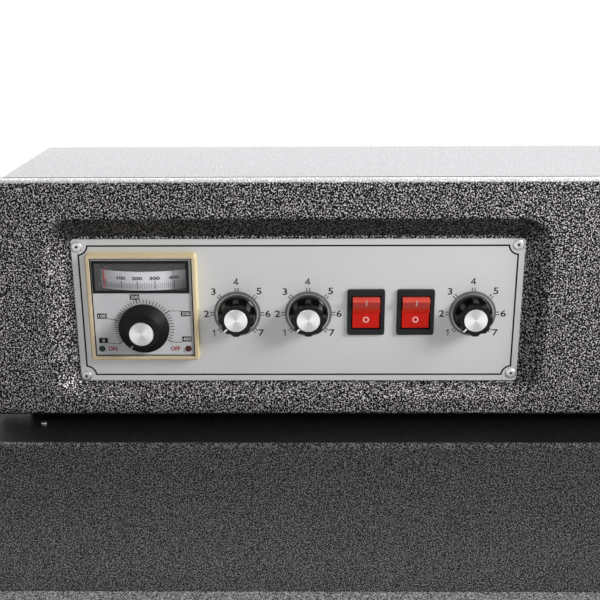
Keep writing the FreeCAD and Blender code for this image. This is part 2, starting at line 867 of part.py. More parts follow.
def arch(half, front, rear, top, wall, foot):
    """An upside-down U along X: its half length, its outer faces, and its wall."""
    outer = box(-half, half, front, rear, foot, top)
    inner = box(-half - overcut, half + overcut, front + wall, rear - wall, foot - overcut, top - wall)
    return outer.cut(inner)


def insulation_blanket():
    """Mineral fibre between the outer sheet and the liner."""
    top = hood_height - sheet
    blanket = arch(hood_half - sheet, hood_front_y + sheet, hood_rear_y - sheet, top, insulation, base_height)
    blanket = blanket.makeFillet(bend_radius - sheet, upper_edges(blanket, 0, top - overcut))
    return blanket.cut(fan_hole(hood_front_y + sheet, insulation))


def chamber_liner():
    """Bright sheet lining of the roof and the two long walls."""
    liner = arch(hood_half - sheet, liner_front_y, liner_rear_y, liner_top_z, thin_sheet, base_height)
    return liner.cut(fan_hole(liner_front_y, thin_sheet))


def air_baffle():
    """Perforated wall before the fan: a round intake grille and two banks of outlet slots."""
    half = hood_half - sheet
    bottom = rail_top + seat_gap
    plate = box(-half, half, baffle_y, baffle_y + thin_sheet, bottom, chamber_roof_z)
    foot = box(-half, half, liner_front_y + thin_sheet, baffle_y, bottom, bottom + thin_sheet)

    def slot(x, width, reach):
        return box(x - width / 2, x + width / 2, baffle_y - overcut, baffle_y + thin_sheet + overcut,
                   fan_z() - reach, fan_z() + reach)

    cuts = []
    for x in spread(grille_slot_count, grille_bar_pitch):
        edge = abs(x) + grille_slot_width / 2
        cuts.append(slot(fan_x + x, grille_slot_width, math.sqrt(fan_eye_radius ** 2 - edge ** 2)))
    for side in (-1, 1):
        for x in spread(outlet_slot_count, outlet_slot_pitch, side * (hood_half - outlet_bank_inset)):
            cuts.append(slot(x, outlet_slot_width, outlet_slot_length / 2))
    return take(join([plate, foot]), cuts)


def heater_rows():
    """Places of the heater tubes across the belt."""
    return spread(heater_count, belt_width / heater_count, belt_centre_y)


def heater_tubes(z):
    """Quartz tubes along the chamber with a ceramic cap on each end."""
    reach = heater_reach()
    end = reach - heater_cap_length
    cap_radius = heater_radius + heater_cap_wall
    steps = [(-reach, 0), (-reach, cap_radius), (-end, cap_radius), (-end, heater_radius),
             (end, heater_radius), (end, cap_radius), (reach, cap_radius), (reach, 0)]
    return [profile([(x, y + r, z) for x, r in steps]).revolve(V(0, y, z), V(1, 0, 0), 360)
            for y in heater_rows()]


def heater_reach():
    """Half the length of a heater tube over its caps."""
    return hood_half - sheet - heater_end_gap


def heater_seats(z, x):
    """Holes that the ceramic caps pass through."""
    radius = heater_radius + heater_cap_wall + running_clearance
    start = x - heater_cap_length / 2
    return [rod(radius, (start, y, z), heater_cap_length, (1, 0, 0)) for y in heater_rows()]


def heater_brackets():
    """Two hangers under the roof that hold the ends of the upper heaters."""
    hangers = []
    for side in (-1, 1):
        x = side * (heater_reach() - heater_cap_length / 2)
        plate = box(x - sheet / 2, x + sheet / 2, chamber_front_y, chamber_rear_y,
                    heater_top_z - heater_radius - hanger_below_heater, chamber_roof_z)
        hangers.append(take(plate, heater_seats(heater_top_z, x)))
    return hangers


def lower_heater_z():
    """Height of the lower heaters, between the two runs of the belt."""
    return return_top_z + reflector_above_belt + reflector_depth + heater_radius


def lower_reflector():
    """Folded tray between the runs of the belt: its ends hold the lower heaters."""
    half = heater_reach()
    front = belt_centre_y - rail_inner
    rear = belt_centre_y + rail_inner
    floor_z = lower_heater_z() - heater_radius - reflector_depth + thin_sheet
    side_z = lower_heater_z() + heater_radius + reflector_lip
    end_x = half - heater_cap_length / 2 + sheet / 2

    def inside(x0, x1):
        return box(x0, x1, front + thin_sheet, rear - thin_sheet, floor_z + thin_sheet, side_z + overcut)

    tray = box(-half, half, front, rear, floor_z, side_z)
    hollows = [inside(-end_x + sheet, end_x - sheet), inside(-half - overcut, -end_x),
               inside(end_x, half + overcut)]
    seats = []
    for side in (-1, 1):
        seats += heater_seats(lower_heater_z(), side * (end_x - sheet / 2))
    return take(tray, hollows + seats)


def curtain_axis_z():
    """Height of the rods that the curtains hang from, inside the top of each mouth."""
    return mouth_top_z - curtain_hem_radius - curtain_top_gap


def curtain_rods():
    """Rods across the two mouths, from one side of the opening to the other."""
    return [rod(curtain_rod_radius, (side * (hood_half - sheet / 2), mouth_front_y, curtain_axis_z()),
                mouth_rear_y - mouth_front_y, (0, 1, 0)) for side in (-1, 1)]


def curtain(side):
    """Row of heat-proof strips, each with a round hem that turns on the rod."""
    x = side * (hood_half - sheet / 2)
    z = curtain_axis_z()
    pitch = (2 * rail_inner - 2 * strip_gap) / strip_count
    wide = pitch - strip_gap
    strips = []
    for y in spread(strip_count, pitch, belt_centre_y):
        y0 = y - wide / 2
        hem = rod(curtain_hem_radius, (x, y0, z), wide, (0, 1, 0))
        blade = box(x - strip_thickness / 2, x + strip_thickness / 2, y0, y0 + wide,
                    belt_height + strip_floor_gap, z)
        hole = rod(curtain_rod_radius + running_clearance, (x, y0 - overcut, z), wide + 2 * overcut,
                   (0, 1, 0))
        strips.append(join([hem, blade]).cut(hole))
    return strips


# Hot air fan
def fan_blade():
    """One forward-curved blade of the fan, standing on the back plate at the middle of the wheel."""
    lift = V(0, 0, blade_thickness)
    start = V(fan_radius - blade_length, 0, 0)
    end = V(fan_radius - blade_inset, 0, 0)
    bow = (start + end) / 2 + V(0, 0, blade_bow)
    lower = Part.Arc(start, bow, end).toShape()
    upper = Part.Arc(start + lift, bow + lift, end + lift).toShape()
    sides = [Part.makeLine(start, start + lift), Part.makeLine(end, end + lift)]
    outline = Part.Wire(Part.__sortEdges__([lower, upper] + sides))
    return Part.Face(outline).extrude(V(0, fan_width - thin_sheet / 2, 0))


def fan_impeller():
    """Radial wheel: back plate, front ring and curved blades, with its shaft out to the motor."""
    y_back = liner_front_y + thin_sheet + fan_wall_gap
    y_ring = y_back + fan_width - thin_sheet
    z = fan_z()
    back = rod(fan_radius, (fan_x, y_back, z), thin_sheet, (0, 1, 0))
    ring = tube(fan_radius, fan_radius - fan_ring_width, (fan_x, y_ring, z), thin_sheet, (0, 1, 0))
    blades = []
    for i in range(fan_blades):
        blade = fan_blade()
        blade.rotate(V(0, 0, 0), V(0, 1, 0), i * 360.0 / fan_blades)
        blade.translate(V(fan_x, y_back + thin_sheet / 4, z))
        blades.append(blade)
    hub = rod(fan_hub_radius, (fan_x, y_back, z), fan_hub_length, (0, 1, 0))
    shaft_start = fan_motor_front() + 2 * root
    shaft = rod(fan_shaft_radius, (fan_x, shaft_start, z), y_back - shaft_start + root, (0, 1, 0))
    return join([back, ring, hub, shaft] + blades)


def fan_motor_front():
    """Foremost point of the fan motor, which stands on legs on the back of the control box."""
    return hood_front_y - sheet - fan_leg_length - fan_stack_depth - fan_dome_depth


def fan_motor():
    """Shaded-pole motor: a laminated stack between two bearing brackets, on four legs."""
    half_x = fan_motor_side / 2
    half_z = fan_motor_height / 2
    z = fan_z()
    front = fan_motor_front() + fan_dome_depth
    rear = front + fan_stack_depth
    stack = rounded_block(fan_x - half_x, fan_x + half_x, front, rear, z - half_z, z + half_z,
                          fan_stack_corner, 1)
    leg_x = half_x - fan_leg_inset
    leg_z = half_z - fan_leg_inset
    legs = [rod(fan_leg_radius, (fan_x + dx, rear - root, z + dz), fan_leg_length + root, (0, 1, 0))
            for dx in (-leg_x, leg_x) for dz in (-leg_z, leg_z)]
    steps = [(0, 0), (fan_dome_radius, 0), (fan_dome_radius - fan_dome_step, fan_dome_depth / 2),
             (fan_dome_radius / 2, fan_dome_depth), (0, fan_dome_depth)]
    domes = [turned(steps, (fan_x, y, z), sign) for y, sign in ((front, -1.0), (rear, 1.0))]
    bore = rod(fan_shaft_radius + running_clearance, (fan_x, fan_motor_front() + root, z),
               fan_leg_length + fan_stack_depth + fan_dome_depth, (0, 1, 0))
    return take(join([stack] + legs + domes), [bore])


# Control box
def control_box():
    """Open-topped box behind the fascia: floor, back, two louvred ends and a front return."""
    half = box_length / 2
    outer = box(-half, half, fascia_back_y, box_rear_y, base_height, machine_height - sheet)
    hollow = box(-half + sheet, half - sheet, fascia_back_y - overcut, box_rear_y - sheet,
                 base_height + sheet, machine_height)
    lip = box(-half, half, fascia_back_y, fascia_back_y + sheet, base_height, base_height + cover_flange)
    middle_y = (fascia_back_y + box_rear_y) / 2
    middle_z = (base_height + machine_height) / 2
    louvres = [box(side * half - 2 * sheet, side * half + 2 * sheet, middle_y - louvre_length / 2,
                   middle_y + louvre_length / 2, z, z + louvre_width)
               for side in (-1, 1) for z in spread(louvre_count, louvre_pitch, middle_z)]
    whole = outer.cut(hollow).fuse(lip).removeSplitter()
    return take(whole, louvres + [fan_hole(box_rear_y - sheet, sheet)])


def box_cover():
    """Lid of the control box, its rear and end edges folded down inside the box."""
    half = box_length / 2
    under = machine_height - sheet
    edge = machine_height - cover_flange
    top = box(-half, half, seam_y + cover_seam, box_rear_y, under, machine_height)
    rear = box(-half + sheet, half - sheet, box_rear_y - 2 * sheet, box_rear_y - sheet, edge, under)
    folds = [rear]
    for side in (-1, 1):
        low, high = sorted((side * (half - sheet), side * (half - 2 * sheet)))
        folds.append(box(low, high, fascia_back_y + cover_end_gap, box_rear_y - sheet, edge, under))
    return join([top] + folds)


def fascia():
    """Front panel: a folded pan with a pressed recess whose four walls slope in to a flat floor."""
    floor = (plate_x - plate_length / 2 - recess_margin, plate_x + plate_length / 2 + recess_margin,
             plate_z - plate_height / 2 - recess_margin, plate_z + plate_height / 2 + recess_margin)
    mouth = (floor[0] - recess_side_bevel, floor[1] + recess_side_bevel,
             floor[2] - recess_bottom_bevel, floor[3] + recess_top_bevel)
    outer = rounded_block(-fascia_half, fascia_half, fascia_face_y, fascia_back_y,
                          fascia_bottom_z, machine_height, rim_radius, 1)
    outer = outer.makeFillet(rim_radius, front_edges(outer, fascia_face_y))
    step = box(-fascia_half - overcut, fascia_half + overcut, seam_y, fascia_back_y + overcut,
               machine_height - sheet, machine_height + overcut)
    hollow = box(-fascia_half + sheet, fascia_half - sheet, fascia_face_y + sheet, fascia_back_y + overcut,
                 fascia_bottom_z + sheet, machine_height - 2 * sheet)
    pan = take(outer, [step, hollow])

    def pocket(grow, front, back):
        near = rounded_outline(mouth[0] - grow, mouth[1] + grow, mouth[2] - grow, mouth[3] + grow,
                               recess_corner * 2 + grow, front)
        far = rounded_outline(floor[0] - grow, floor[1] + grow, floor[2] - grow, floor[3] + grow,
                              recess_corner + grow, back)
        return Part.makeLoft([near, far], True, True)

    boss = pocket(sheet, fascia_face_y + sheet / 2, floor_back_y)
    recess = pocket(0.0, fascia_face_y, recess_floor_y)
    pressed = pan.fuse(boss).cut(recess)
    rim = [e for e in front_edges(pressed, fascia_face_y) if within(e.CenterOfMass, mouth)]
    pressed = pressed.makeFillet(rim_radius, rim)
    return take(pressed, panel_cuts(recess_floor_y, sheet))


def within(point, outline):
    """Whether a point lies in or on an upright rectangle: left, right, bottom and top."""
    left, right, bottom, top = outline
    return left - root < point.x < right + root and bottom - root < point.z < top + root


def panel_cuts(face_y, thickness):
    """Cut-outs for the controls, the same in the plate and in the fascia's floor."""
    y0 = face_y - overcut
    y1 = face_y + thickness + overcut
    half = controller_side / 2 + hole_clearance
    cx, cz = controller_centre()
    cuts = [box(cx - half, cx + half, y0, y1, cz - half, cz + half)]
    cuts += [rod(pot_thread_radius + hole_clearance, (x, y0, plate_z + ring_z), y1 - y0, (0, 1, 0))
             for x in knob_places()]
    half_x = switch_width / 2 - switch_body_margin + hole_clearance
    half_z = switch_height / 2 - switch_body_margin + hole_clearance
    z = plate_z + switch_z
    cuts += [box(x - half_x, x + half_x, y0, y1, z - half_z, z + half_z) for x in switch_places()]
    return cuts


def knob_places():
    """Shafts of the upper heat, lower heat and belt speed knobs."""
    return [upper_heat_x, lower_heat_x, speed_x]


def switch_places():
    """Middles of the fan and conveyor switches."""
    return [fan_switch_x, carry_switch_x]


def control_plate():
    """Brushed plate with round corners that lies on the floor of the recess."""
    half_x = plate_length / 2
    half_z = plate_height / 2
    plate = rounded_block(plate_x - half_x, plate_x + half_x, plate_face_y, recess_floor_y,
                          plate_z - half_z, plate_z + half_z, plate_corner, 1)
    return take(plate, panel_cuts(plate_face_y, plate_thickness))


# Temperature controller
def controller_centre():
    """Middle of the controller on the plate."""
    return (controller_x, plate_z + controller_z)


def controller_face_y():
    """Front of the controller's grey face, a little behind the rim of its bezel."""
    return plate_face_y - controller_bezel_proud + controller_face_setback


def controller_window(y, depth):
    """Block through the meter's window."""
    cx, cz = controller_centre()
    half = meter_window_width / 2
    middle = cz + meter_window_z
    high = meter_window_height / 2
    return box(cx - half, cx + half, y, y + depth, middle - high, middle + high)


def controller_bezel():
    """Rim round the controller's face, with a soft outer edge."""
    cx, cz = controller_centre()
    half_w = controller_bezel_width / 2
    half_h = controller_bezel_height / 2
    front = plate_face_y - controller_bezel_proud
    frame = rounded_block(cx - half_w, cx + half_w, front, plate_face_y, cz - half_h, cz + half_h,
                          controller_bezel_corner, 1)
    frame = frame.makeFillet(controller_bezel_round, front_edges(frame, front))
    in_w = half_w - controller_bezel_rim
    in_h = half_h - controller_bezel_rim
    return frame.cut(box(cx - in_w, cx + in_w, front - overcut, plate_face_y + overcut, cz - in_h, cz + in_h))


def controller_face():
    """Grey face plate with the meter window, the dial hole and two lamp holes."""
    cx, cz = controller_centre()
    half_w = controller_bezel_width / 2 - controller_bezel_rim
    half_h = controller_bezel_height / 2 - controller_bezel_rim
    y0 = controller_face_y()
    start = y0 - overcut
    across = controller_face_thickness + 2 * overcut
    plate = box(cx - half_w, cx + half_w, y0, y0 + controller_face_thickness, cz - half_h, cz + half_h)
    cuts = [controller_window(start, across),
            rod(dial_shaft_radius + hole_clearance, (cx + dial_x, start, cz + dial_z), across, (0, 1, 0))]
    cuts += [rod(lamp_radius, (x, start, z), across, (0, 1, 0)) for x, z in lamp_places()]
    return take(plate, cuts)


def lamp_places():
    """Middles of the two lamps at the foot of the face."""
    cx, cz = controller_centre()
    return [(cx - lamp_x, cz + lamp_z), (cx + lamp_x, cz + lamp_z)]


def controller_body():
    """Moulded case behind the panel: hollow round the meter, with bores for the dial shaft and lamps."""
    cx, cz = controller_centre()
    half = controller_side / 2
    y0 = controller_face_y() + controller_face_thickness
    start = y0 - overcut
    case = box(cx - half, cx + half, y0, y0 + controller_depth, cz - half, cz + half)
    low = meter_floor_z()
    high = cz + half - controller_wall
    cavity = box(cx - half + controller_wall, cx + half - controller_wall, start,
                 y0 + controller_depth - controller_wall, low, high)
    pin = rod(meter_pin_radius, (cx, meter_axis_y(), low - root), high - low + 2 * root, (0, 0, 1))
    bores = [rod(dial_shaft_radius + running_clearance, (cx + dial_x, start, cz + dial_z),
                 dial_shaft_reach + 2 * overcut, (0, 1, 0))]
    bores += [rod(lamp_radius, (x, start, z), lamp_tail + 2 * overcut, (0, 1, 0)) for x, z in lamp_places()]
    return join([take(case, [cavity] + bores), pin, meter_scale()])


def meter_floor_z():
    """Floor of the meter's space in the controller, level with the foot of its window."""
    return controller_centre()[1] + meter_window_z - meter_window_height / 2


def meter_axis_y():
    """Upright axis of the meter's needle, behind its curved scale."""
    return controller_face_y() + meter_scale_gap + meter_radius


def meter_scale():
    """Curved scale that stands in the meter, its middle nearest the window."""
    cx = controller_centre()[0]
    low = meter_floor_z() - root
    ring = tube(meter_radius, meter_radius - meter_scale_thickness, (cx, meter_axis_y(), low),
                root + meter_scale_height, (0, 0, 1))
    half = meter_window_width / 2 - meter_scale_thickness
    front_part = box(cx - half, cx + half, controller_face_y(), meter_axis_y() - meter_radius / 2,
                     low, low + root + meter_scale_height)
    return ring.common(front_part)


def meter_window():
    """Clear pane in the meter's window."""
    return controller_window(controller_face_y(), controller_face_thickness)


def meter_needle():
    """Pointer: a hub on the pin, an arm over the scale and a blade in front of it."""
    cx = controller_centre()[0]
    axis_y = meter_axis_y()
    arm_z = meter_floor_z() + meter_scale_height + needle_thickness
    blade_y = axis_y - meter_radius - needle_thickness
    hub = rod(meter_hub_radius, (cx, axis_y, arm_z - needle_thickness), meter_hub_height, (0, 0, 1))
    arm = box(cx - needle_arm_width / 2, cx + needle_arm_width / 2, blade_y, axis_y,
              arm_z, arm_z + needle_thickness)
    blade = box(cx - needle_blade_width / 2, cx + needle_blade_width / 2, blade_y - root, blade_y + root / 4,
                meter_floor_z() + 2 * needle_thickness, arm_z + needle_thickness)
    hole = rod(meter_pin_radius + running_clearance, (cx, axis_y, arm_z - 2 * meter_hub_height),
               4 * meter_hub_height, (0, 0, 1))
    needle = join([hub, arm, blade]).cut(hole)
    needle.rotate(V(cx, axis_y, 0), V(0, 0, 1), -meter_sweep / 2)
    return needle


def indicator_lamps():
    """Two domed lamps, one lit while heating and one when hot."""
    tail = controller_face_thickness + lamp_tail
    radius = lamp_radius - lamp_fit
    steps = [(0, -tail), (radius, -tail), (radius, lamp_dome / 6), (radius * 0.75, lamp_dome * 0.7),
             (0, lamp_dome)]
    return [turned(steps, (x, controller_face_y(), z)) for x, z in lamp_places()]


# Knobs
def dial_centre():
    """Shaft of the temperature dial, on the controller's face."""
    cx, cz = controller_centre()
    return (cx + dial_x, controller_face_y(), cz + dial_z)


def controller_knob():
    """Temperature dial: a wide skirt, a coned grip and a socket for its cap."""
    x, y, z = dial_centre()
    grip = dial_cap_radius + dial_cap_wall
    socket = dial_cap_radius + knob_cap_gap
    edge = knob_gap + dial_edge_height
    steps = [(0, knob_gap), (dial_radius, knob_gap), (dial_radius, edge),
             (dial_radius - dial_bevel, edge + dial_bevel),
             (grip + 2 * dial_bevel, knob_gap + dial_cone_height), (grip, dial_height), (socket, dial_height),
             (socket, dial_height - knob_cap_thickness), (0, dial_height - knob_cap_thickness)]
    body = turned(steps, (x, y, z))
    shaft = rod(dial_shaft_radius, (x, y - knob_gap - root, z), knob_gap + root + dial_shaft_reach, (0, 1, 0))
    return join([body, shaft])


def cap(centre, radius, height):
    """Spun cap that lies in the top of a knob."""
    low = height - knob_cap_thickness
    high = height + knob_cap_proud
    steps = [(0, low), (radius, low), (radius, height - knob_cap_edge), (radius - knob_cap_edge, high),
             (0, high)]
    return turned(steps, centre)


def grip_knob(x):
    """Control knob: a round skirt under a grip with scooped flutes, on a pressed-in shaft."""
    y = plate_face_y
    z = plate_z + ring_z
    foot = ring_thickness + knob_gap
    skirt = foot + knob_skirt_height
    top = knob_top()
    socket = knob_cap_radius + knob_cap_gap
    steps = [(0, foot), (knob_skirt_radius, foot), (knob_skirt_radius, skirt),
             (knob_grip_foot_radius, skirt + knob_waist_height),
             (knob_grip_radius, top - knob_top_round), (knob_grip_radius - knob_top_round / 2, top),
             (socket, top), (socket, top - knob_cap_thickness), (0, top - knob_cap_thickness)]
    body = turned(steps, (x, y, z))
    reach = knob_grip_radius + flute_radius - flute_depth
    flutes = []
    for i in range(knob_flutes):
        angle = math.radians(knob_rest_angle + (i + 0.5) * 360.0 / knob_flutes)
        place = (x + reach * math.cos(angle), y - skirt - knob_waist_height, z + reach * math.sin(angle))
        flutes.append(rod(flute_radius, place, knob_grip_height, (0, -1, 0)))
    shaft_end = floor_back_y + pot_bore_depth - knob_gap
    shaft = rod(knob_shaft_radius, (x, y - foot - root, z), shaft_end - y + foot + root, (0, 1, 0))
    return join([body.cut(flutes), shaft])


def knob_top():
    """Height of a control knob's face above the plate."""
    return ring_thickness + knob_gap + knob_grip_height


def knob_cap(x):
    """Cap of a control knob."""
    return cap((x, plate_face_y, plate_z + ring_z), knob_cap_radius, knob_top())


def potentiometer(x):
    """Round body behind the panel, a threaded neck, three tags and a scale ring on the plate."""
    z = plate_z + ring_z
    front = plate_face_y - ring_thickness
    back = floor_back_y
    can_steps = [(0, 0), (pot_radius, 0), (pot_radius, pot_depth - pot_edge),
                 (pot_radius - pot_edge, pot_depth), (0, pot_depth)]
    can = turned(can_steps, (x, back, z), 1.0)
    neck = rod(pot_thread_radius, (x, front, z), back - front + root, (0, 1, 0))
    ring = turned([(0, 0), (ring_radius - ring_bevel, 0), (ring_radius, -ring_bevel / 2),
                   (ring_radius, -ring_thickness), (0, -ring_thickness)], (x, front, z))
    tag_y = back + pot_depth / 2
    tag_top = z - pot_radius + 3 * root
    tags = [box(tag_x - pot_tag_width / 2, tag_x + pot_tag_width / 2, tag_y, tag_y + pot_tag_thickness,
                tag_top - 3 * root - pot_tag_length, tag_top) for tag_x in spread(3, pot_tag_pitch, x)]
    bore = rod(knob_shaft_radius + running_clearance, (x, front - overcut, z),
               overcut + back - front + pot_bore_depth, (0, 1, 0))
    return take(join([can, neck, ring] + tags), [bore])


# Rocker switches
def rocker_pivot(x):
    """Axis of a rocker, just in front of the plate's face."""
    return (x, plate_face_y - switch_rim + rocker_proud + rocker_axis_depth, plate_z + switch_z)


def rocker_fold_depth():
    """Distance from a rocker's axis forward to the fold across its face."""
    return 2 * rocker_proud


def rocker_reach():
    """Radius of a rocker's tips about its axis."""
    rise = rocker_half * math.tan(math.radians(rocker_fold))
    return math.hypot(rocker_half, rocker_fold_depth() + rise)


def rocker(x):
    """Rocker with a shallow vee front on a round back, its foot pressed in."""
    px, py, pz = rocker_pivot(x)
    left = px - rocker_width / 2
    reach = rocker_reach()
    tip_y = py - math.sqrt(reach ** 2 - rocker_half ** 2)
    back_y = py + reach * rocker_belly
    back_half = math.sqrt(reach ** 2 - (reach * rocker_belly) ** 2)
    side_y = py + reach * math.sin(math.radians(rocker_side_angle))
    side_half = reach * math.cos(math.radians(rocker_side_angle))
    fold = V(left, py - rocker_fold_depth(), pz)
    tips = [V(left, tip_y, pz + s * rocker_half) for s in (1, -1)]
    sides = [V(left, side_y, pz + s * side_half) for s in (1, -1)]
    backs = [V(left, back_y, pz + s * back_half) for s in (1, -1)]
    outline = Part.Wire([Part.makeLine(fold, tips[0]), Part.Arc(tips[0], sides[0], backs[0]).toShape(),
                         Part.makeLine(backs[0], backs[1]), Part.Arc(backs[1], sides[1], tips[1]).toShape(),
                         Part.makeLine(tips[1], fold)])
    body = Part.Face(outline).extrude(V(rocker_width, 0, 0))
    axle = rod(rocker_axle_radius, (left - rocker_axle_reach, py, pz), rocker_width + 2 * rocker_axle_reach,
               (1, 0, 0))
    body = join([body, axle])
    body.rotate(V(px, py, pz), V(1, 0, 0), rocker_fold)
    return body


def switch_body(x):
    """Switch housing: a bevelled frame on the plate, a body through it and two blade contacts."""
    z = plate_z + switch_z
    half_w = switch_width / 2
    half_h = switch_height / 2
    front = plate_face_y - switch_rim
    back = plate_face_y + switch_body_depth
    frame = rounded_block(x - half_w, x + half_w, front, plate_face_y, z - half_h, z + half_h,
                          switch_corner, 1)
    frame = frame.makeFillet(switch_round, front_edges(frame, front))
    in_w = half_w - switch_body_margin
    in_h = half_h - switch_body_margin
    body = box(x - in_w, x + in_w, plate_face_y - root, back, z - in_h, z + in_h)
    px, py, pz = rocker_pivot(x)
    reach = rocker_reach() + rocker_gap
    wide = rocker_width / 2 + rocker_gap
    well = box(x - wide, x + wide, front - overcut, py, z - reach, z + reach)
    drum = rod(reach, (x - wide, py, pz), 2 * wide, (1, 0, 0))
    socket_wide = wide + rocker_axle_reach
    socket = rod(rocker_axle_radius + running_clearance, (x - socket_wide, py, pz), 2 * socket_wide,
                 (1, 0, 0))
    tabs = [box(x - switch_tab_width / 2, x + switch_tab_width / 2, back - root, back + switch_tab_length,
                tab_z - switch_tab_thickness / 2, tab_z + switch_tab_thickness / 2)
            for tab_z in spread(2, switch_tab_pitch, z)]
    return take(join([frame, body] + tabs), [well, drum, socket])


# Electrics in the control box
def power_board():
    """Circuit board on pillars on the floor of the box, with its heat sink and two capacitors."""
    floor_z = base_height + sheet
    board_z = floor_z + pillar_height
    top_z = board_z + board_thickness
    y0 = fascia_back_y + board_setback
    middle_y = y0 + board_width / 2
    board = box(board_x, board_x + board_length, y0, y0 + board_width, board_z, top_z)
    pillars = [rod(pillar_radius, (x, y, floor_z), pillar_height + root, (0, 0, 1))
               for x in (board_x + pillar_inset, board_x + board_length - pillar_inset)
               for y in (y0 + pillar_inset, y0 + board_width - pillar_inset)]
    sink_x = board_x + sink_inset
    sink_z = top_z + sink_thickness
    sink = box(sink_x, sink_x + sink_length, middle_y - sink_width / 2, middle_y + sink_width / 2,
               top_z - root, sink_z)
    fins = [box(sink_x, sink_x + sink_length, y - fin_thickness / 2, y + fin_thickness / 2,
                sink_z - root, sink_z + fin_height) for y in spread(fin_count, fin_pitch, middle_y)]
    can_x = (sink_x + sink_length + board_x + board_length) / 2
    cans = [rod(can_radius, (x, middle_y, top_z - root), can_height, (0, 0, 1))
            for x in spread(can_count, can_pitch, can_x)]
    return join([board, sink] + pillars + fins + cans)


def terminal_block():
    """Row of screw terminals on the floor of the box."""
    floor_z = base_height + sheet
    y0 = fascia_back_y + terminal_setback
    y1 = y0 + terminal_depth
    length = terminal_count * terminal_pitch
    block = box(terminal_x, terminal_x + length, y0, y1, floor_z, floor_z + terminal_height)
    walls = [box(x - terminal_wall / 2, x + terminal_wall / 2, y0, y1,
                 floor_z + terminal_height - root, floor_z + terminal_wall_height)
             for x in spread(terminal_count + 1, terminal_pitch, terminal_x + length / 2)]
    return join([block] + walls)


# Everything, one file for each named piece
pieces = {
    "base_pan": [base_pan()],
    "rubber_feet": rubber_feet(),
    "base_casing": [base_casing()],
    "base_rear_panel": [base_rear_panel()],
    "base_end_entry": [base_end(-1)],
    "base_end_exit": [base_end(1)],
    "cable_gland": [cable_gland()],
    "rail_front": [rail(-1)],
    "rail_rear": [rail(1)],
    "belt_support_rods": belt_support_rods(),
    "conveyor_belt": [conveyor_belt()],
    "drive_bearings": drive_bearings(),
    "take_up_blocks": take_up_blocks(),
    "take_up_screws": take_up_screws(),
    "drive_roller": [drive_roller()],
    "idler_roller": [idler_roller()],
    "motor_bracket": [motor_bracket()],
    "gearmotor": [gearmotor()],
    "motor_pulley": [motor_pulley()],
    "drive_pulley": [pulley(roller_x, roller_z, journal_radius)],
    "drive_belt": [drive_belt()],
    "lower_reflector": [lower_reflector()],
    "lower_heaters": heater_tubes(lower_heater_z()),
    "tunnel_hood": [tunnel_hood()],
    "insulation_blanket": [insulation_blanket()],
    "chamber_liner": [chamber_liner()],
    "air_baffle": [air_baffle()],
    "heater_brackets": heater_brackets(),
    "upper_heaters": heater_tubes(heater_top_z),
    "curtain_rods": curtain_rods(),
    "entry_curtain": curtain(-1),
    "exit_curtain": curtain(1),
    "fan_impeller": [fan_impeller()],
    "fan_motor": [fan_motor()],
    "control_box": [control_box()],
    "box_cover": [box_cover()],
    "fascia": [fascia()],
    "control_plate": [control_plate()],
    "controller_bezel": [controller_bezel()],
    "controller_face": [controller_face()],
    "controller_body": [controller_body()],
    "meter_window": [meter_window()],
    "meter_needle": [meter_needle()],
    "indicator_lamps": indicator_lamps(),
    "controller_knob": [controller_knob()],
    "controller_knob_cap": [cap(dial_centre(), dial_cap_radius, dial_height)],
    "potentiometers": [potentiometer(x) for x in knob_places()],
    "power_board": [power_board()],
    "terminal_block": [terminal_block()],
}
for label, place in zip(("upper_heat", "lower_heat", "speed"), knob_places()):
    pieces[label + "_knob"] = [grip_knob(place)]
    pieces[label + "_knob_cap"] = [knob_cap(place)]
for label, place in zip(("fan", "conveyor"), switch_places()):
    pieces[label + "_switch"] = [switch_body(place)]
    pieces[label + "_rocker"] = [rocker(place)]

for name, solids in pieces.items():
    save(name, solids)
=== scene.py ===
"""Benchtop shrink tunnel, dressed for the camera.

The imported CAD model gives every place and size. This script gives the CAD pieces their
finishes and adds what the sheet metal drawings leave out: rivets, screws, printed scales and
numbers, pointers, the coated belt and the silicone curtain strips. Sizes are in millimetres.
Places in a finish, the studio and the camera's place are in metres.
"""
from __future__ import annotations

import logging
import math
from contextlib import contextmanager
from dataclasses import dataclass, field
from enum import Enum
from typing import Any, Callable, Iterator, Mapping, Sequence

import bmesh
import bpy
from bpy.types import Material, Node, NodeSocket, NodeTree, Object
from mathutils import Matrix, Vector

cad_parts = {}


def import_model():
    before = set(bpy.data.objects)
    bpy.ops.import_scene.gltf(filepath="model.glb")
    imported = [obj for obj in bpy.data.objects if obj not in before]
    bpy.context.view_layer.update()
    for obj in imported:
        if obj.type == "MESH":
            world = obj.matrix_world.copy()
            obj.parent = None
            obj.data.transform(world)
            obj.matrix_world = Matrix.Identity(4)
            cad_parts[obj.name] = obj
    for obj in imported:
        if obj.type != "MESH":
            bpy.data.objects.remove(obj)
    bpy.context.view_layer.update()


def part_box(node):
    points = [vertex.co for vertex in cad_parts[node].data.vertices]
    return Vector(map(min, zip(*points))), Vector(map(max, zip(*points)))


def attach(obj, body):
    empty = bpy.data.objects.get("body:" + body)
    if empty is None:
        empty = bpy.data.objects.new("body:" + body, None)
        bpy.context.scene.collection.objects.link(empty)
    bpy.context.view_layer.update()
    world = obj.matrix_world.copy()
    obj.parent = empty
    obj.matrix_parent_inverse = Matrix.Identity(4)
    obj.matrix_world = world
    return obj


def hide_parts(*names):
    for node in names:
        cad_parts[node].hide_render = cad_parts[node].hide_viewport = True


log = logging.getLogger("shrink_tunnel")

Pair = tuple[float, float]
Triple = tuple[float, float, float]
Stroke = tuple[float, float, float, float]

MM = 0.001
FRONT = Matrix.Rotation(math.radians(90.0), 4, "X")
# The least cosine at which a face or an edge counts as square to an axis.
SQUARE = 0.9
# Points that are closer than this are one.
TOUCH = 0.01
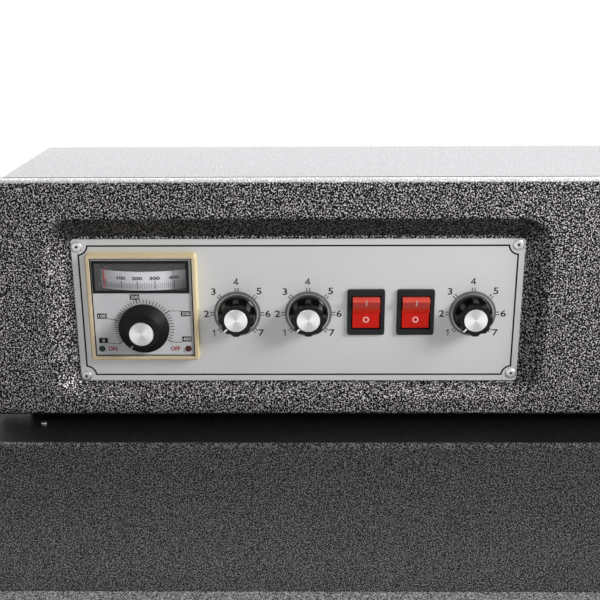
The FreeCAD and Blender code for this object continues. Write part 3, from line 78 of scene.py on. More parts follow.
# How far in front of the middle a probe starts, clear of the whole machine.
AHEAD = 400.0


class Look(Enum):
    """Which way a small part's head looks on the machine."""

    REAR = (0.0, 1.0, 0.0)
    LEFT = (-1.0, 0.0, 0.0)
    RIGHT = (1.0, 0.0, 0.0)
    UP = (0.0, 0.0, 1.0)

    def turn(self) -> Matrix:
        """Returns the turn that brings +Z to this direction."""
        return Vector(self.value).to_track_quat("Z", "Y").to_matrix().to_4x4()


class Part(Enum):
    """Mesh elements that a pick can select."""

    EDGE = "EDGE"
    FACE = "FACE"


def linear(colour: str) -> tuple[float, float, float, float]:
    """Turns an sRGB hex colour into a linear one.

    Args:
        colour: Hex colour such as "#c0c0c0".

    Returns:
        Linear red, green, blue and an alpha of 1.
    """
    levels = [int(colour[i:i + 2], 16) / 255.0 for i in (1, 3, 5)]
    return tuple(v / 12.92 if v <= 0.04045 else ((v + 0.055) / 1.055) ** 2.4 for v in levels) + (1.0,)


def cells(size: float) -> float:
    """Returns the texture scale at which one cell of a pattern measures `size` millimetres."""
    return 1.0 / (size * MM)


@dataclass
class Wiring:
    """The node tree of a material or of the world."""

    tree: NodeTree

    def feed(self, node: Node, inputs: Mapping[Any, Any]) -> None:
        """Links sockets to a node's inputs and sets plain values on them.

        Args:
            node: The node.
            inputs: Input names or numbers, each with a socket, a hex colour or another value.
        """
        for key, value in inputs.items():
            if isinstance(value, NodeSocket):
                self.tree.links.new(value, node.inputs[key])
            else:
                node.inputs[key].default_value = linear(value) if isinstance(value, str) else value

    def add(self, kind: str, inputs: Mapping[Any, Any] | None = None,
            stops: Sequence[tuple[float, str]] = (), **settings: Any) -> Mapping[Any, NodeSocket]:
        """Adds a node with its settings and links.

        Args:
            kind: Blender's name for the node, without the "ShaderNode" before it.
            inputs: What its inputs get, in the way that feed takes it.
            stops: The two positions of a colour ramp, each with its hex colour.
            **settings: Properties of the node itself.

        Returns:
            The node's output sockets.
        """
        node = self.tree.nodes.new(f"ShaderNode{kind}")
        for key, value in settings.items():
            setattr(node, key, value)
        self.feed(node, inputs or {})
        for number, (position, colour) in enumerate(stops):
            node.color_ramp.elements[number].position = position
            node.color_ramp.elements[number].color = linear(colour)
        return node.outputs


@dataclass(frozen=True)
class Finish:
    """A surface finish and the record's slot that it belongs to.

    The tone is the second colour of its pattern, and the swing says how far the roughness
    changes from one end of the pattern to the other.
    """

    name: str
    colour: str
    slot: str
    roughness: float = 0.5
    metallic: float = 0.0
    tone: str = "#ffffff"
    swing: Pair = (0.0, 0.0)

    def material(self) -> Material:
        """Returns this finish's material, made at its first use."""
        known = bpy.data.materials.get(self.name)
        if known is not None:
            return known
        made = bpy.data.materials.new(self.name)
        made.use_nodes = True
        made.diffuse_color = linear(self.colour)
        shader = next(n for n in made.node_tree.nodes if n.type == "BSDF_PRINCIPLED")
        coat = Coat(made.node_tree, self, shader, Wiring(made.node_tree).add("TexCoord")["Object"])
        coat.surface({"Base Color": self.colour, "Roughness": self.roughness, "Metallic": self.metallic})
        self.paint(coat)
        return made

    def paint(self, coat: Coat) -> None:
        """Adds what makes this finish its own; each kind has its own method.

        Args:
            coat: The material under work.
        """


@dataclass
class Coat(Wiring):
    """The material of one finish, with its surface shader and object coordinates in metres."""

    finish: Finish
    shader: Node
    place: NodeSocket

    def surface(self, inputs: Mapping[Any, Any]) -> None:
        """Gives the surface shader's own inputs what they get."""
        self.feed(self.shader, inputs)

    def grain(self, size: float, stretch: Triple = (1.0, 1.0, 1.0),
              detail: float = 3.0, distortion: float = 0.0) -> NodeSocket:
        """Draws noise whose cells have a real size.

        Args:
            size: Cell size in millimetres.
            stretch: How much finer or coarser the pattern runs along each axis.
            detail: Octaves of finer grain.
            distortion: How far the cells flow into each other.

        Returns:
            The noise's value socket.
        """
        moved = self.add("Mapping", {"Vector": self.place, "Scale": stretch})[0]
        return self.add("TexNoise", {"Vector": moved, "Scale": cells(size), "Detail": detail,
                                     "Distortion": distortion})["Fac"]

    def tint(self, pattern: NodeSocket, start: float, end: float) -> None:
        """Colours the surface along a pattern, from the finish's colour to its tone."""
        stops = ((start, self.finish.colour), (end, self.finish.tone))
        self.surface({"Base Color": self.add("ValToRGB", {0: pattern}, stops)[0]})

    def cover(self, share: NodeSocket, colour: NodeSocket | str) -> None:
        """Lays a colour over the present one, as far as `share` goes."""
        old = self.shader.inputs["Base Color"].links[0].from_socket
        self.surface({"Base Color": self.add("Mix", {0: share, 6: old, 7: colour}, data_type="RGBA")[2]})

    def relief(self, height: NodeSocket, depth: float) -> None:
        """Lets a pattern raise the surface by `depth` millimetres."""
        bump = {"Height": height, "Distance": depth * MM, "Strength": 1.0}
        self.surface({"Normal": self.add("Bump", bump)[0]})

    def gloss(self, pattern: NodeSocket) -> None:
        """Swings the roughness along a pattern, within the middle part of its values."""
        low_end, high_end = (self.finish.roughness + swing for swing in self.finish.swing)
        self.surface({"Roughness": self.add("MapRange", {
            "Value": pattern, "From Min": 0.35, "From Max": 0.65, "To Min": low_end, "To Max": high_end})[0]})


@dataclass(frozen=True)
class HammerPaint(Finish):
    """Baked hammertone enamel: dark veins run round paler islands where the flake has gathered.

    The tone is the islands' colour. The deck is a pair of colours for veins and islands on faces that look up
    above the height painted_top_from: painted light on the lid and on the front's top bend, painted shade on
    the base's ledge. painted_top_bend says how flat a face has to lie to begin to turn to them and to have
    turned. In front of the place along Y given as seam, the surface is painted in the vein colour as a
    painted shadow line along the joint, and no islands show.
    """

    tone: str = "#b0acae"
    swing: Pair = (0.08, -0.08)
    vein: float = 1.0
    soft: float = 0.05
    middle: float = 0.555
    flake: float = 0.15
    painted_top_shading: tuple[str, str] | None = None
    painted_top_from: float = 0.0
    painted_top_bend: Pair = (0.05, 0.3)
    seam_shadow: float | None = None

    def paint(self, coat: Coat) -> None:
        """Draws the veins, the flake's gloss and the orange peel.

        Args:
            coat: The material under work.
        """
        # Real veins are about 1 mm apart, so the pattern shows at its true size.
        flow = coat.grain(size=self.vein, detail=1.0, distortion=0.6)
        start, end = self.middle - self.soft, self.middle + self.soft
        coat.tint(flow, start, end)
        # Painted shade: faces that look down are painted darker, up to three quarters of the way to black.
        height = coat.add("SeparateXYZ", {0: coat.add("NewGeometry")["Normal"]})["Z"]
        down = coat.add("MapRange", {"Value": height, "From Min": -0.5, "From Max": -0.1,
                                     "To Min": 0.75, "To Max": 0.0})[0]
        coat.cover(down, "#000000")
        # Painted light and shade on top faces: they take their own pair of colours, pale as painted light on
        # the lid and on the front's top bend, near black as painted shade on the base's ledge.
        if self.painted_top_shading:
            facing = coat.add("MapRange", {"Value": height, "From Min": self.painted_top_bend[0],
                                           "From Max": self.painted_top_bend[1]})[0]
            rise = coat.add("SeparateXYZ", {0: coat.place})["Z"]
            raised = coat.add("Math", {0: rise, 1: self.painted_top_from}, operation="GREATER_THAN")[0]
            share = coat.add("Math", {0: facing, 1: raised}, operation="MULTIPLY")[0]
            stops = ((start, self.painted_top_shading[0]), (end, self.painted_top_shading[1]))
            coat.cover(share, coat.add("ValToRGB", {0: flow}, stops)[0])
        if self.seam_shadow is not None:
            # Painted shadow: in front of this place the surface is painted in the dark vein colour, which
            # draws the shaded seam under the folded front edge as a dark line.
            depth = coat.add("SeparateXYZ", {0: coat.place})["Y"]
            coat.cover(coat.add("Math", {0: depth, 1: self.seam_shadow}, operation="LESS_THAN")[0], self.colour)
        flaky = coat.add("MapRange", {"Value": flow, "From Min": start, "From Max": end,
                                      "To Max": self.flake})[0]
        coat.surface({"Metallic": flaky, "Specular IOR Level": 0.14})
        coat.gloss(flow)
        coat.relief(flow, depth=0.05)


@dataclass(frozen=True)
class BrushedMetal(Finish):
    """Rolled or brushed sheet: fine straight lines along one axis."""

    swing: Pair = (-0.05, 0.08)
    line: float = 0.3
    run: Triple = (0.02, 1.0, 1.0)

    def paint(self, coat: Coat) -> None:
        """Draws the brush lines.

        Args:
            coat: The material under work.
        """
        lines = coat.grain(size=self.line, stretch=self.run, detail=2.0)
        coat.tint(lines, start=0.3, end=0.7)
        coat.gloss(lines)
        coat.relief(lines, depth=0.002)


@dataclass(frozen=True)
class SpunMetal(Finish):
    """Spun aluminium disc: rings round its middle that draw the light out to both sides, and two pale fans
    painted across it as a painted highlight.
    """

    tone: str = "#fbfbfb"
    middle: Pair = (0.0, 0.0)
    ring: float = 0.45

    def paint(self, coat: Coat) -> None:
        """Draws the rings and the two pale fans of painted highlight.

        Args:
            coat: The material under work.
        """
        centred = coat.add("Mapping", {
            "Vector": coat.place, "Location": (-self.middle[0], 0.0, -self.middle[1])})[0]
        flat = coat.add("VectorMath", {0: centred, 1: (1.0, 0.0, 1.0)}, operation="MULTIPLY")[0]
        reach = coat.add("VectorMath", {0: flat}, operation="LENGTH")["Value"]
        rings = coat.add("Math", {0: reach, 1: cells(self.ring) * math.tau}, operation="MULTIPLY")[0]
        wave = coat.add("Math", {0: rings}, operation="SINE")[0]
        axes = coat.add("SeparateXYZ", {0: centred})
        # Painted highlight: the colour turns with the angle round the middle into two pale fans and two dark
        # ones, where the rings would catch and lose the light.
        angle = coat.add("Math", {0: axes["Z"], 1: axes["X"]}, operation="ARCTAN2")[0]
        double = coat.add("Math", {0: angle, 1: 2.0, 2: -0.35}, operation="MULTIPLY_ADD")[0]
        painted_highlight_fans = coat.add("Math", {0: double}, operation="COSINE")[0]
        blend = coat.add("Math", {0: wave, 1: 0.12, 2: painted_highlight_fans}, operation="MULTIPLY_ADD")[0]
        coat.tint(coat.add("MapRange", {"Value": blend, "From Min": -1.0})[0], start=0.1, end=0.9)
        tangent = coat.add("Tangent", direction_type="RADIAL", axis="Y")[0]
        coat.surface({"Anisotropic": 0.7, "Tangent": tangent})
        coat.relief(wave, depth=0.004)


@dataclass(frozen=True)
class PlatedMetal(Finish):
    """Plated, cast or sintered metal: cloudy in tone, with a faint tooth."""

    swing: Pair = (-0.06, 0.1)
    cloud: float = 6.0
    tooth: float = 0.02

    def paint(self, coat: Coat) -> None:
        """Draws the clouds and the tooth.

        Args:
            coat: The material under work.
        """
        cloud = coat.grain(size=self.cloud, detail=5.0, distortion=0.4)
        coat.tint(cloud, start=0.35, end=0.65)
        coat.gloss(cloud)
        coat.relief(coat.grain(size=0.6, detail=2.0), depth=self.tooth)


@dataclass(frozen=True)
class Moulding(Finish):
    """Moulded plastic, bakelite or rubber: even colour and a spark-eroded tooth."""

    swing: Pair = (-0.04, 0.06)
    tooth: float = 0.5
    depth: float = 0.01
    glaze: float = 0.0
    specular: float = 0.5

    def paint(self, coat: Coat) -> None:
        """Draws the tooth and the slight change of tone.

        Args:
            coat: The material under work.
        """
        coat.tint(coat.grain(size=9.0, detail=4.0), start=0.3, end=0.7)
        coat.surface({"Coat Weight": self.glaze, "Coat Roughness": 0.08,
                      "Specular IOR Level": self.specular})
        tooth = coat.grain(size=self.tooth, detail=2.0)
        coat.gloss(tooth)
        coat.relief(tooth, depth=self.depth)


@dataclass(frozen=True)
class Banded(Moulding):
    """A moulding that changes colour at planes across one axis."""

    axis: str = "X"
    steps: tuple[tuple[float, str], ...] = ()
    both_ends: bool = False

    def paint(self, coat: Coat) -> None:
        """Draws the bands over the moulding's own tooth.

        Args:
            coat: The material under work.
        """
        super().paint(coat)
        along = coat.add("SeparateXYZ", {0: coat.place})[self.axis]
        if self.both_ends:
            along = coat.add("Math", {0: along}, operation="ABSOLUTE")[0]
        for start, colour in self.steps:
            coat.cover(coat.add("Math", {0: along, 1: start}, operation="GREATER_THAN")[0], colour)


@dataclass(frozen=True)
class RimTone(Moulding):
    """A moulding that is another colour towards its outer edge, as seen from the front."""

    middle: Pair = (0.0, 0.0)
    half: Pair = (1.0, 1.0)
    rim: str = "#ffffff"
    rim_from: float = 0.9
    rim_blend: float = 0.02

    def paint(self, coat: Coat) -> None:
        """Draws the rim over the moulding's own tooth.

        Args:
            coat: The material under work.
        """
        super().paint(coat)
        (x, z), (half_x, half_z) = self.middle, self.half
        centred = coat.add("Mapping", {
            "Vector": coat.place, "Location": (-x / half_x, 0.0, -z / half_z),
            "Scale": (1.0 / half_x, 0.0, 1.0 / half_z)})[0]
        axes = coat.add("SeparateXYZ", {0: coat.add("VectorMath", {0: centred}, operation="ABSOLUTE")[0]})
        reach = coat.add("Math", {0: axes["X"], 1: axes["Z"]}, operation="MAXIMUM")[0]
        coat.cover(coat.add("MapRange", {"Value": reach, "From Min": self.rim_from,
                                         "From Max": self.rim_from + self.rim_blend})[0], self.rim)


@dataclass(frozen=True)
class ClearPane(Finish):
    """Clear acrylic pane: what lies behind shows through, and the studio glints in it."""

    swing: Pair = (0.0, 0.05)
    cover: float = 0.06

    def paint(self, coat: Coat) -> None:
        """Draws the fine scratches of wiping and sets how much the pane hides."""
        coat.gloss(coat.grain(size=2.0, stretch=(0.2, 1.0, 1.0)))
        coat.surface({"Alpha": self.cover})


@dataclass(frozen=True)
class CoatedWeave(Finish):
    """Glass cloth coated with slippery resin: a plain weave that still shows through the coat."""

    swing: Pair = (-0.05, 0.1)
    thread: float = 2.5
    gap: str = "#2b1c0d"

    def paint(self, coat: Coat) -> None:
        """Draws the threads of both directions.

        Args:
            coat: The material under work.
        """
        # The real cloth has a thread about every millimetre; it is drawn coarser so that it shows.
        waves = {"Vector": coat.place, "Scale": cells(self.thread) * 2.0 / math.tau}
        warp = coat.add("TexWave", waves, bands_direction="X")["Fac"]
        weft = coat.add("TexWave", waves, bands_direction="Y")["Fac"]
        cross = coat.add("Math", {0: warp, 1: weft}, operation="MAXIMUM")[0]
        stain = coat.grain(size=45.0, detail=4.0)
        coat.tint(stain, start=0.35, end=0.65)
        coat.cover(coat.add("Math", {0: 1.0, 1: cross}, operation="SUBTRACT")[0], self.gap)
        coat.surface({"Sheen Weight": 0.15})
        coat.gloss(stain)
        coat.relief(cross, depth=0.15)


@dataclass(frozen=True)
class Silicone(Finish):
    """Cast silicone sheet: milky, a little see-through and waxy."""

    swing: Pair = (-0.08, 0.08)

    def paint(self, coat: Coat) -> None:
        """Draws the cloudiness.

        Args:
            coat: The material under work.
        """
        cloud = coat.grain(size=14.0, detail=4.0)
        coat.tint(cloud, start=0.3, end=0.7)
        coat.surface({"Transmission Weight": 0.2, "Subsurface Weight": 0.2, "Subsurface Scale": 0.002})
        coat.gloss(cloud)
        coat.relief(coat.grain(size=3.0), depth=0.05)


# Sheet metal. Hammertone is a baked enamel, painted darker as painted shade on faces that look down; the
# front is veined sharply and its top bend painted pale as painted light, the lid's top is painted pale as
# painted light with a painted shadow along its front seam, and the base is a little finer and glossier, with
# its ledge painted near black as painted shade.
FASCIA_PAINT = HammerPaint("hammertone enamel front", "#040405", "hammertone_dark", 0.5, tone="#d4d0d2",
                           soft=0.02, middle=0.572, flake=0.12, painted_top_shading=("#c0c0be", "#fcfafa"), painted_top_from=0.3)
LID_PAINT = HammerPaint("hammertone enamel lid", "#08080a", "hammertone", 0.5,
                        painted_top_shading=("#aaaaac", "#cacacc"), seam_shadow=-0.1826)
BODY_PAINT = HammerPaint("hammertone enamel body", "#08080a", "hammertone", 0.5)
BASE_PAINT = HammerPaint("hammertone enamel base", "#08080a", "hammertone", 0.45, tone="#706e70", vein=0.85,
                         soft=0.04, middle=0.545, flake=0.12, painted_top_shading=("#020203", "#19191b"),
                         painted_top_bend=(0.85, 0.99))
PAN_PAINT = HammerPaint("hammertone enamel pan", "#3c3c3e", "hammertone", 0.45, tone="#e4e2e4", vein=0.85,
                        soft=0.06, middle=0.52, flake=0.5)

# Metals. Bright rolled steel, zinc plate, die castings and sintered bronze keep a metal's own gloss.
PLATE_METAL = BrushedMetal("satin anodised aluminium", "#d4d4d4", "brushed_aluminium", 0.42, 0.35, "#d8d8d9")
BRIGHT_STEEL = BrushedMetal("rolled stainless steel", "#b4b6b8", "bright_steel", 0.3, 1.0, "#c8cacc",
                            line=0.5)
LAMINATIONS = BrushedMetal("stacked motor steel", "#6e7276", "laminated_steel", 0.45, 1.0, "#9a9ea2",
                           line=0.6, run=(1.0, 0.05, 1.0))
# Painted highlight: a thin line of bright metal stands for the light along each knob ring's inner edge.
RING_HIGHLIGHT = BrushedMetal("bright ring edge", "#b8babc", "pot_metal", 0.3, 0.8, "#d0d2d4")
ZINC = PlatedMetal("zinc plated steel", "#a9adb2", "zinc_steel", 0.34, 1.0, "#c9ccd0")
CASTING = PlatedMetal("die cast aluminium", "#8f9193", "cast_aluminium", 0.5, 1.0, "#a9abad",
                      cloud=3.0, tooth=0.05)
BRONZE = PlatedMetal("sintered bronze", "#8a6534", "bronze", 0.42, 1.0, "#b08a50", cloud=1.5)
RIVET_METAL = PlatedMetal("bright blind rivet", "#b6b7b9", "zinc_steel", 0.3, 0.9, "#dcdcdc", tooth=0.0)
SCREW_METAL = PlatedMetal("nickel plated screw", "#8d8f92", "zinc_steel", 0.3, 1.0, "#b4b6b8", tooth=0.0)
POT_METAL = Moulding("grey scale ring", "#686a6c", "pot_metal", 0.4, 0.3, "#76787a", depth=0.002)

# Plastics and rubbers. Knobs are glossy compression mouldings, the rest is injection moulded.
BAKELITE = Moulding("black phenolic", "#040405", "black_bakelite", 0.14, tone="#08080a",
                    depth=0.001, specular=0.22)
DIAL_BLACK = Moulding("black matt phenolic", "#0b0b0d", "black_bakelite", tone="#101012",
                      depth=0.004, specular=0.14)
SWITCH_BLACK = Moulding("black nylon frame", "#191a1c", "black_plastic", 0.36, tone="#222326", specular=0.2)
CASE_BLACK = Moulding("black polycarbonate", "#0b0b0c", "black_plastic", 0.4, tone="#121213", specular=0.2)
NYLON = Moulding("black nylon", "#141415", "black_nylon", 0.45, tone="#1d1d1f")
RUBBER = Moulding("black rubber", "#101011", "black_rubber", 0.7, tone="#1a1a1b", depth=0.03)
LAGGING = Moulding("vulcanised rubber lagging", "#191412", "rubber_lagging", 0.65, tone="#241d19",
                   tooth=1.2, depth=0.06)
FACE_GREY = Moulding("grey screened panel", "#d2d3d5", "grey_plastic", 0.45, tone="#d8d9db", depth=0.002)
NEEDLE_RED = Moulding("red lacquered aluminium", "#c40c08", "red_needle", 0.4, tone="#d0120c", specular=0.2)
QUARTZ = Banded("milky quartz with ceramic ends", "#cfd2cf", "quartz", 0.22, tone="#dfe2df", depth=0.004,
                glaze=0.4, steps=((0.226, "#d9d0bb"),), both_ends=True)
FIBRE = Moulding("mineral fibre blanket", "#b9ad8a", "mineral_fibre", 0.95, tone="#d2c8a6",
                 tooth=2.2, depth=0.9)
BOARD = Moulding("circuit board", "#0f4a2c", "circuit_board", 0.4, tone="#17603a", depth=0.02)
PANE = ClearPane("clear acrylic", "#ffffff", "clear_pane", 0.04)
BELT_CLOTH = CoatedWeave("resin coated glass cloth", "#7d5428", "ptfe_mesh", 0.42, tone="#a87a45")
CURTAIN_SILICONE = Silicone("milky silicone sheet", "#b9b2a0", "silicone", 0.42, tone="#d8d2c2")

# Printing ink and card: thin, even and nearly matt.
BLACK_INK = Moulding("black printing ink", "#060607", "brushed_aluminium", tone="#0c0c0d", depth=0.0005,
                     specular=0.15)
WHITE_INK = Moulding("white filled ink", "#e6e6e4", "black_bakelite", tone="#f2f2f0", depth=0.0005)
RED_INK = Moulding("red printing ink", "#9c1c28", "grey_plastic", tone="#a82430", depth=0.0005)
PINK_INK = Moulding("pale marking ink", "#eec3b8", "red_plastic", 0.4, tone="#f4d2c8", depth=0.0005)
CARD_WHITE = Moulding("white scale card", "#f4f2fa", "grey_plastic", 0.6, tone="#fafafe", depth=0.0005)


class Bench:
    """Object and edit mode steps, done the way they are done by hand; sizes in millimetres."""

    @staticmethod
    def hold(*pieces: Object) -> None:
        """Selects these pieces alone, the first as the active one."""
        bpy.ops.object.select_all(action="DESELECT")
        for piece in pieces:
            piece.select_set(True)
        bpy.context.view_layer.objects.active = pieces[0] if pieces else None

    @staticmethod
    @contextmanager
    def edit(piece: Object) -> Iterator[None]:
        """Opens a piece in edit mode and closes it again."""
        Bench.hold(piece)
        bpy.ops.object.mode_set(mode="EDIT")
        yield
        bpy.ops.object.mode_set(mode="OBJECT")

    @staticmethod
    def pick(kind: Part, test: Callable[[Vector, Vector], bool]) -> None:
        """Selects the elements of the open mesh that pass a test.

        Args:
            kind: Edges or faces.
            test: Gets an element's middle in metres and its direction: a face's normal, or the
                unit vector along an edge.
        """
        bpy.ops.mesh.select_mode(type=kind.value)
        bpy.ops.mesh.select_all(action="DESELECT")
        mesh = bpy.context.edit_object.data
        shape = bmesh.from_edit_mesh(mesh)
        if kind is Part.FACE:
            for face in shape.faces:
                face.select = test(face.calc_center_median(), face.normal)
        else:
            for edge in shape.edges:
                ends = [v.co for v in edge.verts]
                edge.select = test((ends[0] + ends[1]) / 2, (ends[1] - ends[0]).normalized())
        shape.select_flush_mode()
        bmesh.update_edit_mesh(mesh)

    @staticmethod
    def extrude(x: float, y: float, z: float) -> None:
        """Extrudes what is picked in the open mesh."""
        bpy.ops.mesh.extrude_region_move(TRANSFORM_OT_translate={"value": (x * MM, y * MM, z * MM)})

    @staticmethod
    def step(inset: float, rise: float) -> None:
        """Insets the picked faces of the open mesh and lifts them."""
        bpy.ops.mesh.inset(thickness=inset * MM)
        bpy.ops.transform.translate(value=(0.0, 0.0, rise * MM))

    @staticmethod
    def face_outwards() -> None:
        """Turns all faces of the open mesh outwards."""
        bpy.ops.mesh.select_all(action="SELECT")
        bpy.ops.mesh.normals_make_consistent(inside=False)

    @staticmethod
    def last() -> Object:
        """Returns the piece that the last primitive made."""
        return bpy.context.view_layer.objects.active

    @staticmethod
    def start(primitive: Callable[..., Any], stretch: Sequence[float] = (1.0, 1.0, 1.0),
              **settings: Any) -> Object:
        """Starts a blank from a primitive.

        Args:
            primitive: The operator that adds it.
            stretch: How far the primitive is stretched along each axis.
            **settings: The operator's own settings, in metres.

        Returns:
            The blank, with its place and size in its mesh.
        """
        Bench.hold()
        primitive(**settings)
        piece = Bench.last()
        piece.scale = stretch
        bpy.ops.object.transform_apply(location=True, rotation=True, scale=True)
        return piece

    @staticmethod
    def disc(radius: float, height: float, sides: int) -> Object:
        """Starts a round blank that stands on the origin and looks up."""
        return Bench.start(bpy.ops.mesh.primitive_cylinder_add, vertices=sides, radius=radius * MM,
                           depth=height * MM, location=(0.0, 0.0, height * MM / 2))

    @staticmethod
    def block(size: Sequence[float], centre: Sequence[float]) -> Object:
        """Starts a block blank."""
        return Bench.start(bpy.ops.mesh.primitive_cube_add, [v * MM for v in size], size=1.0,
                           location=[v * MM for v in centre])

    @staticmethod
    def printed(length: float, width: float, film: float = 0.05) -> Object:
        """Makes a bar of ink along X round the origin that looks up and is `film` thick."""
        piece = Bench.start(bpy.ops.mesh.primitive_plane_add, (length * MM, width * MM, 1.0), size=1.0)
        return Bench.thicken(piece, film)

    @staticmethod
    def strokes(lines: Sequence[Stroke], weight: float) -> Object:
        """Prints straight strokes that look up, each with square ends.

        Args:
            lines: Start and end of each stroke.
            weight: The strokes' width.

        Returns:
            All the strokes as one piece.
        """
        bars = []
        for start_x, start_y, end_x, end_y in lines:
            run, rise = end_x - start_x, end_y - start_y
            bar = Bench.printed(math.hypot(run, rise) + weight, weight)
            turn = about("Z", math.degrees(math.atan2(rise, run)))
            bars.append(Bench.put(bar, at((start_x + end_x) / 2, (start_y + end_y) / 2, 0.0), turn))
        return Bench.join(bars)

    @staticmethod
    def thicken(piece: Object, film: float) -> Object:
        """Extrudes a flat piece up by `film` and closes it.

        Args:
            piece: The flat piece.
            film: Its thickness.

        Returns:
            The same piece.
        """
        with Bench.edit(piece):
            bpy.ops.mesh.select_all(action="SELECT")
            Bench.extrude(0.0, 0.0, film)
            Bench.face_outwards()
        return piece

    @staticmethod
    def outline(points: Sequence[Pair], line: float, film: float = 0.05) -> Object:
        """Prints a line along a closed outline.

        Args:
            points: The outline's outer points, anticlockwise.
            line: The line's width.
            film: How far the ink stands up.

        Returns:
            The line, which looks up.
        """
        piece = Bench.start(bpy.ops.mesh.primitive_circle_add, vertices=len(points), radius=1.0,
                            fill_type="NGON")
        for vertex, (x, y) in zip(piece.data.vertices, points):
            vertex.co = (x * MM, y * MM, 0.0)
        with Bench.edit(piece):
            bpy.ops.mesh.select_mode(type="FACE")
            bpy.ops.mesh.select_all(action="SELECT")
            bpy.ops.mesh.inset(thickness=line * MM, use_even_offset=True)
            bpy.ops.mesh.delete(type="FACE")
        return Bench.thicken(piece, film)

    @staticmethod
    def letters(words: str, height: float, film: float = 0.05, weight: float = 0.012,
                wide: float = 1.15) -> Object:
        """Prints figures or plain words, centred on the origin, that look up.

        Args:
            words: What they say.
            height: Their height.
            film: How far the ink stands up.
            weight: How much the strokes are thickened, as a share of the type size.
            wide: How much wider than the plain type they are.

        Returns:
            The figures as one mesh.
        """
        Bench.hold()
        bpy.ops.object.text_add()
        piece = Bench.last()
        piece.data.body = words
        piece.data.resolution_u = 3
        piece.data.offset = weight
        bpy.ops.object.convert(target="MESH")
        piece = Bench.last()
        bpy.ops.object.origin_set(type="ORIGIN_GEOMETRY", center="BOUNDS")
        piece.location = (0.0, 0.0, 0.0)
        rate = height * MM / piece.dimensions.y
        piece.scale = (rate * wide, rate, rate)
        bpy.ops.object.transform_apply(location=True, rotation=True, scale=True)
        return Bench.thicken(piece, film)

    @staticmethod
    def put(piece: Object, *moves: Matrix) -> Object:
        """Moves a piece's mesh, the last move first, and returns the piece at the origin."""
        for move in reversed(moves):
            piece.data.transform(move)
        piece.data.update()
        return piece

    @staticmethod
    def copy(piece: Object, *moves: Matrix) -> Object:
        """Copies a piece with a mesh of its own and moves the copy."""
        twin = piece.copy()
        twin.data = piece.data.copy()
        bpy.context.scene.collection.objects.link(twin)
        return Bench.put(twin, *moves)

    @staticmethod
    def join(pieces: Sequence[Object]) -> Object:
        """Joins pieces into the first one."""
        Bench.hold(*pieces)
        bpy.ops.object.join()
        return Bench.last()

    @staticmethod
    def apply(piece: Object, kind: str, **settings: Any) -> None:
        """Adds a modifier with its settings and applies it."""
        Bench.hold(piece)
        modifier = piece.modifiers.new(kind.lower(), kind)
        for key, value in settings.items():
            setattr(modifier, key, value)
        bpy.ops.object.modifier_apply(modifier=modifier.name)

    @staticmethod
    def discard(piece: Object) -> None:
        """Takes a cutter or a pattern away."""
        bpy.data.objects.remove(piece)

    @staticmethod
    def smooth(piece: Object, angle: float = 35.0) -> None:
        """Shades a piece smoothly, apart from edges sharper than `angle` degrees."""
        Bench.hold(piece)
        bpy.ops.object.shade_smooth_by_angle(angle=math.radians(angle))

    @staticmethod
    def settle(piece: Object, name: str, finish: Finish, body: str = "machine") -> None:
        """Names, paints and mounts a finished piece.

        Args:
            piece: The piece, with its place in its mesh.
            name: Its name.
            finish: Its surface.
            body: The CAD body that carries it.
        """
        piece.name = name
        piece.data.name = name
        piece.data.materials.clear()
        piece.data.materials.append(finish.material())
        for polygon in piece.data.polygons:
            polygon.material_index = 0
        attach(piece, body)
        log.info("made %s", name)


def at(x: float, y: float, z: float) -> Matrix:
    """Returns the move to a place given in millimetres."""
    return Matrix.Translation((x * MM, y * MM, z * MM))


def about(axis: str, angle: float) -> Matrix:
    """Returns a turn of `angle` degrees about an axis through the origin."""
    return Matrix.Rotation(math.radians(angle), 4, axis)


def polar(reach: float, angle: float) -> Pair:
    """Returns the point `reach` away from the origin, `angle` degrees anticlockwise from +X."""
    return reach * math.cos(math.radians(angle)), reach * math.sin(math.radians(angle))


def oval(half_x: float, half_y: float, sides: int) -> list[Pair]:
    """Returns the points of an oval round the origin, anticlockwise."""
    turns = [step * math.tau / sides for step in range(sides)]
    return [(half_x * math.cos(turn), half_y * math.sin(turn)) for turn in turns]


def oblong(left: float, bottom: float, right: float, top: float) -> list[Pair]:
    """Returns the corners of an oblong, anticlockwise from its upper right one."""
    return [(right, top), (left, top), (left, bottom), (right, bottom)]


def dress(finishes: Mapping[str, Finish]) -> None:
    """Gives CAD nodes their finishes through their material slots."""
    for node, finish in finishes.items():
        slots = bpy.data.objects[node].data.materials
        slots.clear()
        slots.append(finish.material())
        log.info("dressed %s in %s", node, finish.name)


def middle(node: str) -> Vector:
    """Returns the middle of a CAD node in millimetres."""
    lowest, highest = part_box(node)
    return (lowest + highest) / 2 / MM


def low(node: str) -> Vector:
    """Returns the lowest corner of a CAD node in millimetres."""
    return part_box(node)[0] / MM


def high(node: str) -> Vector:
    """Returns the highest corner of a CAD node in millimetres."""
    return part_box(node)[1] / MM


def skin(node: str, x: float, z: float) -> float:
    """Finds how far forward a CAD node's front stands.

    Args:
        node: The node.
        x: Where along the machine, in millimetres.
        z: How high up, in millimetres.

    Returns:
        The surface's Y in millimetres.
    """
    start = Vector((x * MM, -AHEAD * MM, z * MM))
    return bpy.data.objects[node].ray_cast(start, Vector((0.0, 1.0, 0.0)))[1].y / MM


